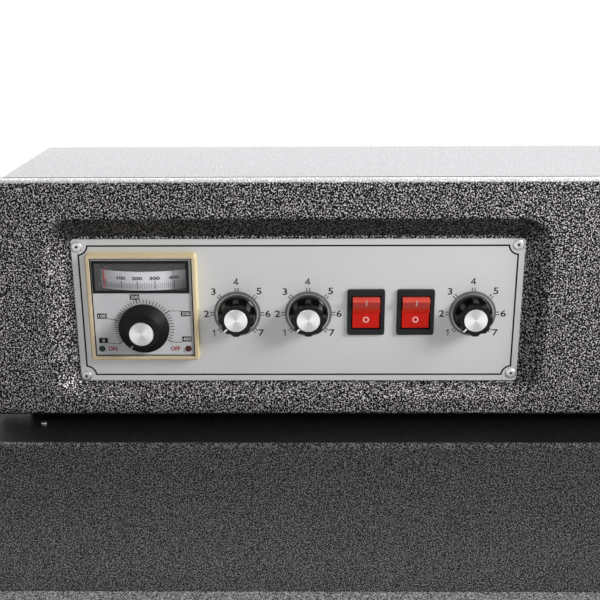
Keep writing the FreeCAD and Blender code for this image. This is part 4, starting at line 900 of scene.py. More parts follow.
@dataclass
class PanScrew:
    """Pan head screw with a cross recess, modelled once and copied.

    The recess is one slot's length, width and height, and stands turned against the panels' edges.
    """

    radius: float = 3.4
    height: float = 2.2
    sides: int = 20
    shoulder: float = 0.68
    crown: float = 0.25
    rounding: float = 0.3
    recess: Triple = (3.4, 0.9, 2.4)
    recess_rise: float = 0.2
    turned: float = 20.0
    pattern: Object | None = None

    def model(self) -> Object:
        """Models the head, which stands on the origin and looks up."""
        head = Bench.disc(self.radius, self.height, self.sides)
        near_top = 0.9 * self.height * MM
        with Bench.edit(head):
            Bench.pick(Part.FACE, lambda c, n: n.z > SQUARE)
            Bench.step(self.shoulder, self.crown)
            Bench.pick(Part.EDGE, lambda c, d: abs(d.z) < 1.0 - SQUARE and c.z > near_top)
            bpy.ops.mesh.bevel(offset=self.rounding * MM, segments=2, affect="EDGES")
        for turn in (0.0, 90.0):
            cutter = Bench.block(self.recess, (0.0, 0.0, self.height + self.recess_rise))
            Bench.put(cutter, about("Z", turn + self.turned))
            Bench.apply(head, "BOOLEAN", operation="DIFFERENCE", object=cutter, solver="EXACT")
            Bench.discard(cutter)
        Bench.smooth(head)
        return head

    def drive(self, name: str, look: Look, place: Sequence[float], scale: float = 1.0) -> None:
        """Puts one screw in.

        Args:
            name: The screw's name.
            look: Which way its head looks.
            place: Where the underside of its head rests.
            scale: Its size beside that of the pattern.
        """
        if self.pattern is None:
            self.pattern = self.model()
        screw = Bench.copy(self.pattern, at(*place), look.turn(), Matrix.Scale(scale, 4))
        Bench.settle(screw, name, SCREW_METAL)

    def drive_corners(self, name: str, look: Look, node: str, inset: Sequence[float]) -> None:
        """Fastens the left or right face of a CAD node at its four corners.

        Args:
            name: What the screws' names start with.
            look: Left or right.
            node: The node.
            inset: How far in the screws sit from its bottom, top, front and rear.
        """
        lowest, highest = low(node), high(node)
        x = lowest.x if look is Look.LEFT else highest.x
        for row, z in enumerate((lowest.z + inset[0], highest.z - inset[1])):
            for side, y in enumerate((lowest.y + inset[2], highest.y - inset[3])):
                self.drive(f"{name}_{row}{side}", look, (x, y, z))

    def done(self) -> None:
        """Takes the pattern away after the last copy."""
        Bench.discard(self.pattern)
        self.pattern = None


@dataclass
class BaseCabinet:
    """Pan, casing, end and rear panels, feet and cable gland.

    The ledge's screws sit in from the front's ends and ahead of it by ledge_inset.
    """

    screw: PanScrew
    edge: float = 12.0
    rear_screws: int = 4
    ledge_inset: Pair = (34.0, 3.0)
    ledge_scale: float = 0.6
    finishes: dict[str, Finish] = field(default_factory=lambda: {
        "base_pan": PAN_PAINT, "base_casing": BASE_PAINT, "base_rear_panel": BODY_PAINT,
        "base_end_entry": BODY_PAINT, "base_end_exit": BODY_PAINT, "rubber_feet": RUBBER,
        "cable_gland": NYLON})

    def build(self) -> None:
        """Dresses the cabinet and fastens its end and rear panels."""
        dress(self.finishes)
        for node, look in (("base_end_entry", Look.LEFT), ("base_end_exit", Look.RIGHT)):
            self.screw.drive_corners(f"{node}_screw", look, node, (self.edge,) * 4)
        lowest, highest = low("base_rear_panel"), high("base_rear_panel")
        spread = (highest.x - self.edge * 2) * 2
        for row, z in enumerate((lowest.z + self.edge, highest.z - self.edge)):
            for place in range(self.rear_screws):
                x = -spread / 2 + spread * place / (self.rear_screws - 1)
                self.screw.drive(f"rear_panel_screw_{row}{place}", Look.REAR, (x, highest.y, z))
        self.set_ledge_screws()

    def set_ledge_screws(self) -> None:
        """Sets the two small screws on the ledge under the front's lower corners."""
        lowest, highest, (inset, ahead) = low("fascia"), high("fascia"), self.ledge_inset
        for side, x in (("left", lowest.x + inset), ("right", highest.x - inset)):
            place = (x, lowest.y - ahead, high("base_casing").z)
            self.screw.drive(f"ledge_screw_{side}", Look.UP, place, self.ledge_scale)


@dataclass
class Conveyor:
    """Coated belt on its rollers and rails, and the drive.

    The splice is the lap's length and thickness. It lies splice_in before the belt's exit end.
    """

    cloth: float = 1.0
    arc_steps: int = 24
    arc_gap: float = 0.02
    splice: Pair = (24.0, 0.6)
    splice_in: float = 62.0
    splice_rise: float = 0.25
    splice_round: float = 0.25
    splice_side: float = 0.4
    finishes: dict[str, Finish] = field(default_factory=lambda: {
        "rail_front": BRIGHT_STEEL, "rail_rear": BRIGHT_STEEL, "belt_support_rods": ZINC,
        "drive_bearings": BRONZE, "take_up_blocks": NYLON, "take_up_screws": ZINC,
        "drive_roller": LAGGING, "idler_roller": ZINC, "motor_bracket": ZINC, "gearmotor": CASTING,
        "motor_pulley": CASTING, "drive_pulley": CASTING, "drive_belt": RUBBER,
        "lower_reflector": BRIGHT_STEEL, "lower_heaters": QUARTZ, "conveyor_belt": BELT_CLOTH})

    def build(self) -> None:
        """Dresses the drive and lays the belt."""
        dress(self.finishes)
        self.belt()
        self.belt_splice()

    def belt(self) -> None:
        """Makes the endless belt: a bevelled block, open at its sides, with the cloth's thickness."""
        lowest, highest = low("conveyor_belt"), high("conveyor_belt")
        size = highest - lowest
        belt = Bench.block(size, (lowest + highest) / 2)
        with Bench.edit(belt):
            Bench.pick(Part.EDGE, lambda c, d: abs(d.y) > SQUARE)
            bpy.ops.mesh.bevel(offset=(size.z / 2 - self.arc_gap) * MM, segments=self.arc_steps,
                               affect="EDGES")
            Bench.pick(Part.FACE, lambda c, n: abs(n.y) > SQUARE)
            bpy.ops.mesh.delete(type="FACE")
            bpy.ops.mesh.select_all(action="SELECT")
            bpy.ops.mesh.remove_doubles(threshold=TOUCH * MM)
            Bench.face_outwards()
        Bench.apply(belt, "SOLIDIFY", thickness=self.cloth * MM, offset=-1.0)
        Bench.smooth(belt)
        Bench.settle(belt, "conveyor_cloth", BELT_CLOTH)
        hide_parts("conveyor_belt")

    def belt_splice(self) -> None:
        """Lays the lap where the belt's ends are welded together."""
        lowest, highest, (length, height) = low("conveyor_belt"), high("conveyor_belt"), self.splice
        place = (highest.x - self.splice_in, middle("conveyor_belt").y, highest.z + self.splice_rise)
        lap = Bench.block((length, highest.y - lowest.y - self.splice_side, height), place)
        with Bench.edit(lap):
            Bench.pick(Part.EDGE, lambda c, d: c.z > (highest.z + height / 2) * MM)
            bpy.ops.mesh.bevel(offset=self.splice_round * MM, segments=2, affect="EDGES")
        Bench.settle(lap, "belt_splice", BELT_CLOTH)


@dataclass
class HeatedHood:
    """Hood, blanket, liner, baffle, heaters, fan and the two strip curtains.

    A strip starts below the rod's middle by the tuck and hangs beside it, both as shares of the
    hem's radius. Down to its foot it leans in, curls back out and cups by these sizes. The
    screws sit in from the hood's bottom, top, front and rear by the inset.
    """

    screw: PanScrew
    strips: int = 5
    gap: float = 1.5
    clear: float = 0.5
    sheet: float = 1.2
    hem: float = 4.2
    tuck: float = 0.7
    beside: float = 0.9
    lean: float = -3.6
    curl: float = 2.6
    cup: float = 0.9
    inset: tuple[float, ...] = (14.0, 10.0, 12.0, 8.0)
    finishes: dict[str, Finish] = field(default_factory=lambda: {
        "tunnel_hood": BODY_PAINT, "insulation_blanket": FIBRE, "chamber_liner": BRIGHT_STEEL,
        "air_baffle": BRIGHT_STEEL, "heater_brackets": BRIGHT_STEEL, "upper_heaters": QUARTZ,
        "curtain_rods": ZINC, "entry_curtain": CURTAIN_SILICONE, "exit_curtain": CURTAIN_SILICONE,
        "fan_impeller": BRIGHT_STEEL, "fan_motor": LAMINATIONS})

    def build(self) -> None:
        """Dresses the chamber, hangs the curtains and fastens the hood."""
        dress(self.finishes)
        for body in ("entry_curtain", "exit_curtain"):
            self.curtain(body)
        for look in (Look.LEFT, Look.RIGHT):
            name = f"hood_screw_{look.name.lower()}"
            self.screw.drive_corners(name, look, "tunnel_hood", self.inset)

    def strip(self, width: float, drop: float, side: int) -> Object:
        """Models one hanging strip with its hem, the hem's middle at the origin.

        Args:
            width: The strip's width.
            drop: How far it hangs below the rod's middle.
            side: Which way its foot curls.

        Returns:
            The strip, across Y and hanging along -Z.
        """
        below = self.hem * self.tuck
        piece = Bench.start(bpy.ops.mesh.primitive_grid_add, ((drop - below) * MM, width * MM, 1.0),
                            x_subdivisions=22, y_subdivisions=8, size=1.0)
        Bench.put(piece, at(side * self.hem * self.beside, 0.0, -(drop + below) / 2), about("Y", 90.0))
        for vertex in piece.data.vertices:
            fall = vertex.co.z / (-drop * MM)
            across = vertex.co.y / (width * MM)
            bend = self.lean * fall + self.curl * fall ** 3 + self.cup * fall * math.sin(across * math.pi)
            vertex.co.x += side * MM * bend
        Bench.apply(piece, "SOLIDIFY", thickness=self.sheet * MM, offset=0.0)
        sleeve = Bench.disc(self.hem, width, sides=24)
        with Bench.edit(sleeve):
            Bench.pick(Part.FACE, lambda c, n: abs(n.z) > SQUARE)
            bpy.ops.mesh.delete(type="FACE")
        Bench.apply(sleeve, "SOLIDIFY", thickness=self.sheet * MM, offset=-1.0)
        Bench.put(sleeve, at(0.0, width / 2, 0.0), about("X", 90.0))
        whole = Bench.join([piece, sleeve])
        Bench.smooth(whole, angle=50.0)
        return whole

    def curtain(self, body: str) -> None:
        """Hangs the strips of one curtain.

        Args:
            body: The curtain's body, which has the same name as its node.
        """
        lowest, highest = low(body), high(body)
        width = (highest.y - lowest.y + self.gap) / self.strips - self.gap
        axis = highest.z - (highest.x - lowest.x) / 2
        side = -1 if body.startswith("entry") else 1
        for place in range(self.strips):
            y = lowest.y + width / 2 + place * (width + self.gap)
            hanging = self.strip(width, axis - lowest.z - self.clear, side)
            mirror = Matrix.Scale((-1.0) ** place, 4, (0, 1, 0))
            Bench.put(hanging, at((lowest.x + highest.x) / 2, y, axis), mirror)
            if place % 2:
                with Bench.edit(hanging):
                    bpy.ops.mesh.select_all(action="SELECT")
                    bpy.ops.mesh.flip_normals()
            Bench.settle(hanging, f"{body}_strip_{place + 1}", CURTAIN_SILICONE, body)
            if place == 0:
                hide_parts(body)


@dataclass
class ControlBox:
    """Box, lid and front with the pressed recess, and the electrics inside.

    The lid's screws sit in from its top, front and rear by the inset.
    """

    screw: PanScrew
    inset: Triple = (8.0, 26.0, 14.0)
    finishes: dict[str, Finish] = field(default_factory=lambda: {
        "control_box": BODY_PAINT, "box_cover": LID_PAINT, "fascia": FASCIA_PAINT,
        "power_board": BOARD, "terminal_block": FACE_GREY})

    def build(self) -> None:
        """Dresses the box and screws its lid on at both ends."""
        dress(self.finishes)
        lowest, highest, (top, front, rear) = low("box_cover"), high("box_cover"), self.inset
        for look, x in ((Look.LEFT, lowest.x), (Look.RIGHT, highest.x)):
            for place, y in enumerate((lowest.y + front, highest.y - rear)):
                self.screw.drive(f"lid_screw_{look.name.lower()}_{place}", look, (x, y, highest.z - top))


@dataclass
class ControlPlate:
    """Riveted plate with its border, the three scales, knobs and rocker switches.

    A rivet and its core are a radius and a height, their steps an inset and a rise, and the hole an inset and
    a depth; the core is black ink, painted shade in the mandrel hole. Ticks and bars are a length and a
    width. The pointer's fill has a film of its own, and its steps go out and down. The ring, a painted
    highlight line along the knob ring's inner edge, and the circle end with their line's width. Figures sit
    at an angle and a distance from the knob's middle. A rocker's red is painted brighter above its ridge and
    paler higher up, as painted highlight and reflection; the sheen is how far above the ridge its palest
    painted part begins.
    """

    border_inset: float = 3.9
    border_line: float = 1.1
    notch: float = 6.2
    notch_steps: int = 8
    rivets: tuple[Pair, ...] = ((-146.4, 45.2), (145.5, 46.2), (146.0, -45.0), (-146.4, -47.0))
    rivet: Pair = (3.7, 0.35)
    rivet_steps: tuple[Pair, ...] = ((0.5, 0.45), (0.9, 0.25))
    rivet_hole: Pair = (1.05, 0.9)
    core: Pair = (0.85, 0.3)
    core_step: Pair = (0.3, 0.1)
    core_up: float = 0.2
    first_turn: float = 225.0
    turn_step: float = 45.0
    tick: Pair = (2.8, 0.58)
    tick_start: float = 15.4
    tick_apart: float = 1.9
    figure: float = 4.7
    figures: tuple[Pair, ...] = (
        (220.5, 21.2), (180.0, 20.8), (135.0, 22.2), (91.0, 22.6), (47.0, 21.9), (0.0, 20.7), (-40.5, 21.0))
    drawn: dict[int, list[Stroke]] = field(default_factory=lambda: {
        1: [(0.3, -2.0, 0.3, 2.0), (0.3, 2.0, -0.8, 1.1)],
        4: [(0.7, -2.0, 0.7, 2.0), (0.7, 2.0, -1.5, -0.9), (-1.5, -0.9, 1.5, -0.9)]})
    drawn_line: float = 0.62
    ring: Pair = (14.1, 0.45)
    fill: Triple = (2.6, 1.2, 0.12)
    fill_from: float = 9.6
    fill_steps: tuple[Pair, ...] = ((0.2, -0.3), (0.65, -1.3))
    bar: Pair = (0.85, 5.2)
    bar_up: float = 19.1
    circle: Triple = (2.0, 2.1, 0.7)
    circle_up: float = 6.0
    press: float = 28.0
    sheen: float = 3.4
    finishes: dict[str, Finish] = field(default_factory=lambda: {
        "control_plate": PLATE_METAL, "potentiometers": POT_METAL, "fan_switch": SWITCH_BLACK,
        "conveyor_switch": SWITCH_BLACK,
        "upper_heat_knob": BAKELITE, "lower_heat_knob": BAKELITE, "speed_knob": BAKELITE})

    def build(self) -> None:
        """Dresses the plate, then prints and fits what it carries."""
        dress(self.finishes)
        ridge = middle("fan_rocker").z * MM
        # Painted highlight and reflection: the rockers' red is painted brighter above the ridge and pale pink
        # from the sheen height up.
        red = Banded("red polycarbonate", "#cc1606", "red_plastic", 0.3, tone="#d21808", depth=0.002,
                     specular=0.2, axis="Z", steps=((ridge, "#e83620"), (ridge + self.sheen * MM, "#d24e43")))
        dress({"fan_rocker": red, "conveyor_rocker": red})
        for knob in ("upper_heat", "lower_heat", "speed"):
            cap = middle(f"{knob}_knob_cap")
            dress({f"{knob}_knob_cap": SpunMetal(
                f"spun aluminium {knob.replace('_', ' ')}", "#c9c9ca", "spun_aluminium", 0.26, 0.75,
                middle=(cap.x * MM, cap.z * MM))})
            self.scale(knob, cap)
            self.pointer(knob, cap)
        self.border()
        self.rivet_heads()
        for rocker in ("fan", "conveyor"):
            self.marks(rocker)

    def border(self) -> None:
        """Prints the border, which steps in round each rivet with a quarter circle."""
        lowest, highest, centre = low("control_plate"), high("control_plate"), middle("control_plate")
        half_x = (highest.x - lowest.x) / 2 - self.border_inset
        half_z = (highest.z - lowest.z) / 2 - self.border_inset
        points = []
        for x, z, start in ((1, 1, 270), (-1, 1, 360), (-1, -1, 90), (1, -1, 180)):
            for step in range(self.notch_steps + 1):
                across, up = polar(self.notch, start - 90.0 * step / self.notch_steps)
                points.append((x * half_x + across, z * half_z + up))
        line = Bench.outline(points, self.border_line)
        Bench.put(line, at(centre.x, lowest.y, centre.z), FRONT)
        Bench.settle(line, "plate_border", BLACK_INK)

    def rivet_heads(self) -> None:
        """Models a blind rivet's head with its mandrel hole and puts one at each corner."""
        head = Bench.disc(*self.rivet, sides=32)
        with Bench.edit(head):
            Bench.pick(Part.FACE, lambda c, n: n.z > SQUARE)
            for inset, rise in self.rivet_steps:
                Bench.step(inset, rise)
            bpy.ops.mesh.inset(thickness=self.rivet_hole[0] * MM)
            Bench.extrude(0.0, 0.0, -self.rivet_hole[1])
            Bench.face_outwards()
        Bench.smooth(head, angle=50.0)
        centre, face = middle("control_plate"), low("control_plate").y
        for place, (x, z) in enumerate(self.rivets, 1):
            spot = at(centre.x + x, face, centre.z + z)
            Bench.settle(Bench.copy(head, spot, FRONT), f"plate_rivet_{place}", RIVET_METAL)
            # Painted shade: the mandrel core in each hole is black ink, for the shade down in the hole.
            core = Bench.disc(*self.core, sides=16)
            with Bench.edit(core):
                Bench.pick(Part.FACE, lambda c, n: n.z > SQUARE)
                Bench.step(*self.core_step)
            Bench.put(core, spot, FRONT, at(0.0, 0.0, self.core_up))
            Bench.settle(core, f"plate_rivet_core_{place}", BLACK_INK)
        Bench.discard(head)

    def scale(self, knob: str, cap: Vector) -> None:
        """Prints one knob's double ticks and the figures 1 to 7, and a painted highlight along the inner edge
        of its ring.

        Args:
            knob: Which knob.
            cap: The middle of its cap.
        """
        tick = Bench.printed(*self.tick)
        marks = []
        for place, (turn, reach) in enumerate(self.figures):
            spoke = about("Z", self.first_turn - self.turn_step * place)
            for side in (-1, 1):
                offset = at(self.tick_start + self.tick[0] / 2, side * self.tick_apart / 2, 0.0)
                marks.append(Bench.copy(tick, spoke, offset))
            if place + 1 in self.drawn:
                figure = Bench.strokes(self.drawn[place + 1], self.drawn_line)
            else:
                figure = Bench.letters(str(place + 1), self.figure, wide=1.22)
            marks.append(Bench.put(figure, at(*polar(reach, turn), 0.0)))
        Bench.discard(tick)
        printed = Bench.put(Bench.join(marks), at(cap.x, low("control_plate").y, cap.z), FRONT)
        Bench.settle(printed, f"{knob}_scale", BLACK_INK)
        # Painted highlight: a thin bright metal line along the inner edge of the grey ring.
        radius, line = self.ring
        edge = Bench.outline(oval(radius, radius, sides=72), line)
        Bench.put(edge, at(cap.x, low("potentiometers").y, cap.z), FRONT)
        Bench.settle(edge, f"{knob}_ring_edge", RING_HIGHLIGHT)

    def pointer(self, knob: str, cap: Vector) -> None:
        """Fills one knob's pointer with white, from its cap over the rounded edge.

        Args:
            knob: Which knob.
            cap: The middle of its cap.
        """
        fill = Bench.put(Bench.printed(*self.fill), at(self.fill_from, 0.0, 0.0))
        with Bench.edit(fill):
            for out, down in self.fill_steps:
                reach = max(v.co.x for v in bmesh.from_edit_mesh(fill.data).verts)
                Bench.pick(Part.FACE, lambda c, n: c.x > reach - TOUCH * MM)
                Bench.extrude(out, 0.0, down)
        Bench.put(fill, at(cap.x, low(f"{knob}_knob").y, cap.z), FRONT, about("Z", self.first_turn))
        Bench.settle(fill, f"{knob}_pointer", WHITE_INK, f"{knob}_knob")

    def marks(self, rocker: str) -> None:
        """Prints the bar and the ring on one rocker's two halves.

        Args:
            rocker: Which rocker.
        """
        node = f"{rocker}_rocker"
        x, foot = middle(node).x, low(node).z
        upper, lower = foot + self.bar_up, foot + self.circle_up
        bar = Bench.printed(*self.bar)
        Bench.put(bar, at(x, skin(node, x, upper), upper), about("X", 90.0 + self.press))
        Bench.settle(bar, f"{rocker}_on_mark", PINK_INK, node)
        half_x, half_z, line = self.circle
        ring = Bench.outline(oval(half_x, half_z, sides=40), line)
        Bench.put(ring, at(x, skin(node, x, lower), lower), FRONT)
        Bench.settle(ring, f"{rocker}_off_mark", PINK_INK, node)


@dataclass
class TemperatureController:
    """Panel controller: bezel, screened face, curved meter scale, dial and two lamps.

    The window's frame is wide at the left and the top, and narrow at the right and the bottom.
    The card is a radius and a height. Ticks on it are a width, a length and how high they sit,
    and figures and boxes have their places from the bezel's middle. A leader starts at its angle
    round the dial and ends at its box. The cone is where the dial's slope begins and ends.
    """

    face_line: float = 0.8
    face_inset: float = 0.15
    window_line: Pair = (1.9, 0.3)
    window_wide: float = 1.3
    window_narrow: float = 0.2
    card: Pair = (70.35, 13.0)
    card_depth: float = 74.0
    card_half: float = 28.6
    card_sheet: float = 0.3
    card_air: float = 0.02
    card_foot: float = 0.6
    long_tick: Triple = (0.55, 5.4, 3.8)
    short_tick: Triple = (0.2, 3.6, 3.2)
    figure_up: float = 8.4
    figures: tuple[tuple[str, float], ...] = (("100", -14.4), ("200", -3.5), ("300", 8.3), ("400", 20.8))
    zero: float = -25.8
    box: Pair = (6.4, 3.7)
    zero_box: Pair = (6.0, 3.7)
    boxes: tuple[tuple[str, float, float], ...] = (
        ("0", -28.0, -23.3), ("100", -27.9, -5.8), ("200", -5.2, 7.6), ("300", 28.4, -4.2),
        ("400", 28.6, -22.3))
    leads: tuple[Triple, ...] = (
        (213.0, -24.4, -25.2), (164.0, -24.6, -7.6), (103.0, -5.2, 5.2), (35.0, 25.4, -2.2),
        (-29.0, 25.2, -24.8))
    lead_from: float = 17.9
    lead_knee: float = 21.0
    dial_tick: Pair = (2.6, 0.45)
    dial_tick_at: float = 18.8
    lamp_words: tuple[tuple[str, float], ...] = (("ON", -22.2), ("OFF", 20.6))
    words_down: float = -29.2
    dial_pointer: float = 236.0
    pointer_line: Triple = (4.2, 0.7, 0.12)
    pointer_at: float = 14.8
    pointer_out: float = 0.1
    pointer_proud: float = 0.05
    cone: Pair = (13.2, 16.4)
    finishes: dict[str, Finish] = field(default_factory=lambda: {
        "controller_face": FACE_GREY, "controller_body": CASE_BLACK,
        "meter_window": PANE, "meter_needle": NEEDLE_RED, "controller_knob": DIAL_BLACK})
    centre: Vector = field(init=False)
    dial: Vector = field(init=False)
    face: float = field(init=False)

    def build(self) -> None:
        """Dresses the controller and prints its face."""
        dress(self.finishes)
        self.centre, self.dial = middle("controller_bezel"), middle("controller_knob")
        self.face = low("controller_face").y
        half = (high("controller_bezel") - low("controller_bezel")) / 2
        cap = middle("controller_knob_cap")
        lamps = Banded("lamp lens", "#052a16", "lamp_plastic", 0.12, tone="#08341b", depth=0.001,
                       specular=0.3, steps=((self.centre.x * MM, "#4a0609"),))
        cream = RimTone("cream styrene", "#dcc8a4", "ivory_plastic", 0.34, tone="#e2d0ae", depth=0.003,
                        middle=(self.centre.x * MM, self.centre.z * MM), half=(half.x * MM, half.z * MM),
                        rim="#dccb98", rim_from=0.975)
        dress({"indicator_lamps": lamps, "controller_bezel": cream, "controller_knob_cap": SpunMetal(
            "spun aluminium dial", "#c4c4c5", "spun_aluminium", 0.3, 0.7, tone="#eeeeee",
            middle=(cap.x * MM, cap.z * MM))})
        self.lines()
        self.meter()
        self.number_boxes()
        self.leaders()
        self.tick_fan()
        for words, x in self.lamp_words:
            piece = Bench.letters(words, height=3.2, weight=0.035, wide=0.92)
            self.on_face(piece, x, self.words_down, f"lamp_word_{words.lower()}", RED_INK)
        self.pointer()

    def on_face(self, piece: Object, x: float, z: float, name: str, ink: Finish) -> None:
        """Settles a printed piece on the face, its place measured from the bezel's middle."""
        Bench.put(piece, at(self.centre.x + x, self.face, self.centre.z + z), FRONT)
        Bench.settle(piece, name, ink)

    def lines(self) -> None:
        """Prints the line round the face and makes the frame round the meter window."""
        half = (high("controller_face") - low("controller_face")) / 2
        half_x, half_z = half.x - self.face_inset, half.z - self.face_inset
        frame = Bench.outline(oblong(-half_x, -half_z, half_x, half_z), self.face_line)
        self.on_face(frame, 0.0, 0.0, "controller_line", BLACK_INK)
        lowest, highest = low("meter_window"), high("meter_window")
        half, wide, narrow = (highest - lowest) / 2, self.window_wide, self.window_narrow
        rim = Bench.outline(oblong(-half.x - wide, -half.z - narrow, half.x + narrow, half.z + wide),
                            *self.window_line)
        Bench.put(rim, at((lowest.x + highest.x) / 2, lowest.y, (lowest.z + highest.z) / 2), FRONT)
        Bench.settle(rim, "meter_frame", CASE_BLACK)

    def meter(self) -> None:
        """Bends the white scale card round the needle's axis and prints its ticks and figures."""
        spot = at(self.centre.x, self.face + self.card_depth, low("meter_window").z + self.card_foot)
        card = Bench.disc(*self.card, sides=256)
        with Bench.edit(card):
            Bench.pick(Part.FACE, lambda c, n: not (n.y < -0.5 and abs(c.x) < self.card_half * MM))
            bpy.ops.mesh.delete(type="FACE")
        Bench.apply(card, "SOLIDIFY", thickness=self.card_sheet * MM, offset=1.0)
        Bench.smooth(card)
        Bench.settle(Bench.put(card, spot), "meter_card", CARD_WHITE)
        spots = [self.zero] + [x for _, x in self.figures]
        marks = []
        for start, end in zip(spots, spots[1:]):
            for step in range(10):
                tick = self.short_tick if step else self.long_tick
                x = start + (end - start) * step / 10
                marks.append(self.on_card(Bench.printed(*tick[:2]), x, tick[2]))
        marks.append(self.on_card(Bench.printed(*self.long_tick[:2]), spots[-1], self.long_tick[2]))
        for words, x in self.figures:
            figures = Bench.letters(words, height=2.4, weight=0.045, wide=1.55)
            marks.append(self.on_card(figures, x, self.figure_up))
        Bench.settle(Bench.put(Bench.join(marks), spot), "meter_scale_print", BLACK_INK)

    def on_card(self, piece: Object, x: float, z: float) -> Object:
        """Turns a printed piece onto the curved card, its place measured from the card's axis and foot."""
        reach = self.card[0] + self.card_sheet + self.card_air
        return Bench.put(piece, about("Z", math.degrees(math.asin(x / reach))), at(0.0, -reach, z), FRONT)

    def number_boxes(self) -> None:
        """Prints the black boxes with white figures."""
        for words, x, z in self.boxes:
            ground = Bench.printed(*(self.zero_box if words == "0" else self.box))
            self.on_face(ground, x, z, f"dial_box_{words}", BLACK_INK)
            figures = Bench.letters(words, height=2.3, film=0.1)
            self.on_face(figures, x, z, f"dial_figure_{words}", WHITE_INK)

    def leaders(self) -> None:
        """Prints the lines that lead from the dial's ticks to the boxes."""
        stubs, bars = [], []
        dial_x, dial_z = self.dial.x - self.centre.x, self.dial.z - self.centre.z
        for angle, x, z in self.leads:
            (start_x, start_z), (knee_x, knee_z) = polar(self.lead_from, angle), polar(self.lead_knee, angle)
            stubs.append((dial_x + start_x, dial_z + start_z, dial_x + knee_x, dial_z + knee_z))
            bars.append((dial_x + knee_x, dial_z + knee_z, x, z))
        leaders = Bench.join([Bench.strokes(stubs, weight=0.6), Bench.strokes(bars, weight=0.32)])
        self.on_face(leaders, 0.0, 0.0, "dial_leaders", BLACK_INK)

    def tick_fan(self) -> None:
        """Prints the fan of ticks round the dial, ten to a hundred."""
        stops = [angle for angle, _, _ in self.leads]
        angles = []
        for start, end in zip(stops, stops[1:]):
            angles += [start + (end - start) * step / 10 for step in range(10)]
        tick, out = Bench.printed(*self.dial_tick), at(self.dial_tick_at, 0.0, 0.0)
        fan = [Bench.copy(tick, about("Z", angle), out) for angle in angles + stops[-1:]]
        Bench.discard(tick)
        x, z = self.dial.x - self.centre.x, self.dial.z - self.centre.z
        self.on_face(Bench.join(fan), x, z, "dial_ticks", BLACK_INK)

    def pointer(self) -> None:
        """Fills the dial's pointer with white, down its cone."""
        edge = Bench.printed(*self.pointer_line)
        near, far = self.cone
        depths = []
        for reach in (near, far):
            x, z = polar(reach, self.dial_pointer)
            depths.append(skin("controller_knob", self.dial.x + x, self.dial.z + z))
        slope = math.degrees(math.atan2(depths[1] - depths[0], far - near))
        Bench.put(edge, at(self.dial.x, sum(depths) / 2 - self.pointer_proud, self.dial.z), FRONT,
                  about("Z", self.dial_pointer), at(self.pointer_at, 0.0, 0.0), about("Y", slope),
                  at(self.pointer_out, 0.0, 0.0))
        Bench.settle(edge, "dial_pointer", WHITE_INK, "controller_knob")


@dataclass
class Lamp:
    """A soft area light."""

    name: str
    place: Triple
    aim: Triple
    size: Pair
    power: float
    spread: float = 180.0

    def hang(self) -> None:
        """Hangs the lamp and turns it to its aim."""
        light = bpy.data.lights.new(self.name, "AREA")
        light.shape = "RECTANGLE"
        light.size, light.size_y = self.size
        light.energy = self.power
        light.spread = math.radians(self.spread)
        lamp = bpy.data.objects.new(self.name, light)
        bpy.context.scene.collection.objects.link(lamp)
        lamp.location = self.place
        lamp.visible_camera = False
        lamp.rotation_euler = (Vector(self.aim) - Vector(self.place)).to_track_quat("-Z", "Y").to_euler()


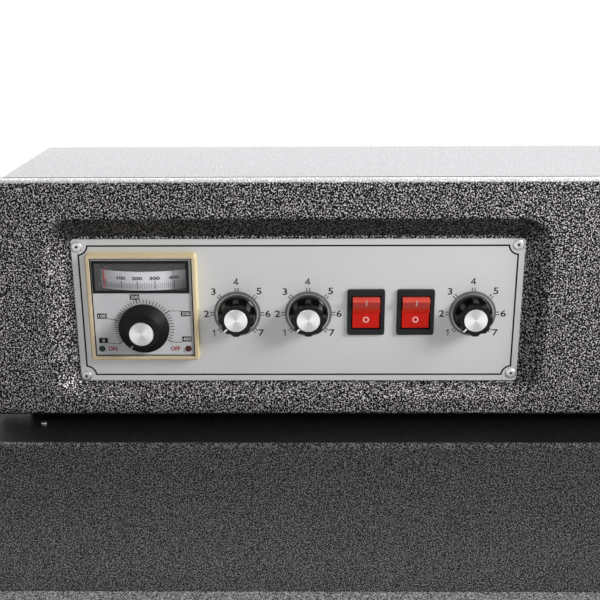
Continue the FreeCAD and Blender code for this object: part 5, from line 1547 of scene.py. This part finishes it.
@dataclass
class Studio:
    """Pale floor, white surroundings and soft light from above and from the right."""

    ambient: float = 0.12
    floor_size: float = 12.0
    floor_tone: str = "#e4e4e5"
    fade: Pair = (0.4, 0.9)
    lamps: tuple[Lamp, ...] = (
        Lamp("softbox_right", (0.9, -0.6, 0.8), (0.25, -0.2, 0.45), (0.5, 0.5), 2.35, 56.0),
        Lamp("softbox_top", (-0.8, 0.3, 1.35), (-0.05, 0.05, 0.3), (1.3, 1.0), 7.0, 80.0),
        Lamp("fill_left", (-1.6, -1.6, 0.9), (0.0, -0.1, 0.2), (1.2, 1.2), 0.6),
        Lamp("bounce_low", (0.0, -0.95, 0.1), (0.0, -0.22, 0.0), (1.2, 0.15), 0.46, 20.0))

    def build(self) -> None:
        """Lays the floor, sets the surroundings and hangs the lamps."""
        bpy.context.scene.view_settings.view_transform = "Standard"
        self.floor()
        self.surroundings()
        for lamp in self.lamps:
            lamp.hang()

    def seen(self, wiring: Wiring) -> NodeSocket:
        """Finds the rays that show the background itself, in a mirror or through glass too.

        Args:
            wiring: The node tree.

        Returns:
            A socket that is 1 for such rays.
        """
        rays = wiring.add("LightPath")
        bent = {0: rays["Is Glossy Ray"], 1: rays["Is Transmission Ray"]}
        straight = {0: wiring.add("Math", bent, operation="MAXIMUM")[0], 1: rays["Is Camera Ray"]}
        return wiring.add("Math", straight, operation="MAXIMUM")[0]

    def surroundings(self) -> None:
        """Makes the surroundings white to look at and dimmer as a light."""
        world = bpy.data.worlds.new("studio")
        bpy.context.scene.world = world
        world.use_nodes = True
        world.node_tree.nodes.clear()
        wiring = Wiring(world.node_tree)
        dim = wiring.add("Background", {"Color": "#ffffff", "Strength": self.ambient})[0]
        white = wiring.add("Background", {"Color": "#ffffff", "Strength": 1.0})[0]
        mixed = wiring.add("MixShader", {0: self.seen(wiring), 1: dim, 2: white})[0]
        wiring.add("OutputWorld", {"Surface": mixed})

    def floor(self) -> None:
        """Lays a pale floor that keeps the machine's shadow and turns white farther off."""
        floor = Bench.start(bpy.ops.mesh.primitive_plane_add, size=self.floor_size)
        floor.name = "studio_floor"
        paint = bpy.data.materials.new("pale studio floor")
        paint.use_nodes = True
        paint.node_tree.nodes.clear()
        wiring = Wiring(paint.node_tree)
        place = wiring.add("TexCoord")["Object"]
        reach = wiring.add("VectorMath", {0: place}, operation="LENGTH")["Value"]
        far = wiring.add("MapRange", {"Value": reach, "From Min": self.fade[0], "From Max": self.fade[1]},
                         interpolation_type="SMOOTHSTEP")[0]
        shown = wiring.add("Math", {0: far, 1: self.seen(wiring)}, operation="MULTIPLY")[0]
        matt = wiring.add("BsdfDiffuse", {"Color": self.floor_tone})[0]
        white = wiring.add("Emission", {"Color": "#ffffff", "Strength": 1.0})[0]
        wiring.add("OutputMaterial", {"Surface": wiring.add("MixShader", {0: shown, 1: matt, 2: white})[0]})
        floor.data.materials.append(paint)


@dataclass
class PhotoCamera:
    """Camera at the photograph's place and angle; angles in degrees."""

    place: Triple = (-0.0530, -0.7854, 0.4371)
    lens: float = 57.16
    pitch: float = 18.368
    yaw: float = 0.624
    roll: float = -0.275

    def build(self) -> None:
        """Sets the camera up."""
        data = bpy.data.cameras.new("camera")
        data.sensor_width = 36.0
        data.lens = self.lens
        data.clip_start, data.clip_end = 0.02, 50.0
        camera = bpy.data.objects.new("camera", data)
        bpy.context.scene.collection.objects.link(camera)
        turn = about("Z", self.yaw) @ about("X", 90.0 - self.pitch) @ about("Z", self.roll)
        camera.matrix_world = Matrix.Translation(self.place) @ turn
        bpy.context.scene.camera = camera


def main() -> None:
    """Builds the scene in order."""
    logging.basicConfig(level=logging.INFO, format="%(name)s: %(message)s")
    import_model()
    PhotoCamera().build()
    screw = PanScrew()
    for assembly in (BaseCabinet(screw), Conveyor(), HeatedHood(screw), ControlBox(screw), ControlPlate(),
                     TemperatureController()):
        assembly.build()
        log.info("finished %s", type(assembly).__name__)
    screw.done()
    Studio().build()


if __name__ == "__main__":
    main()
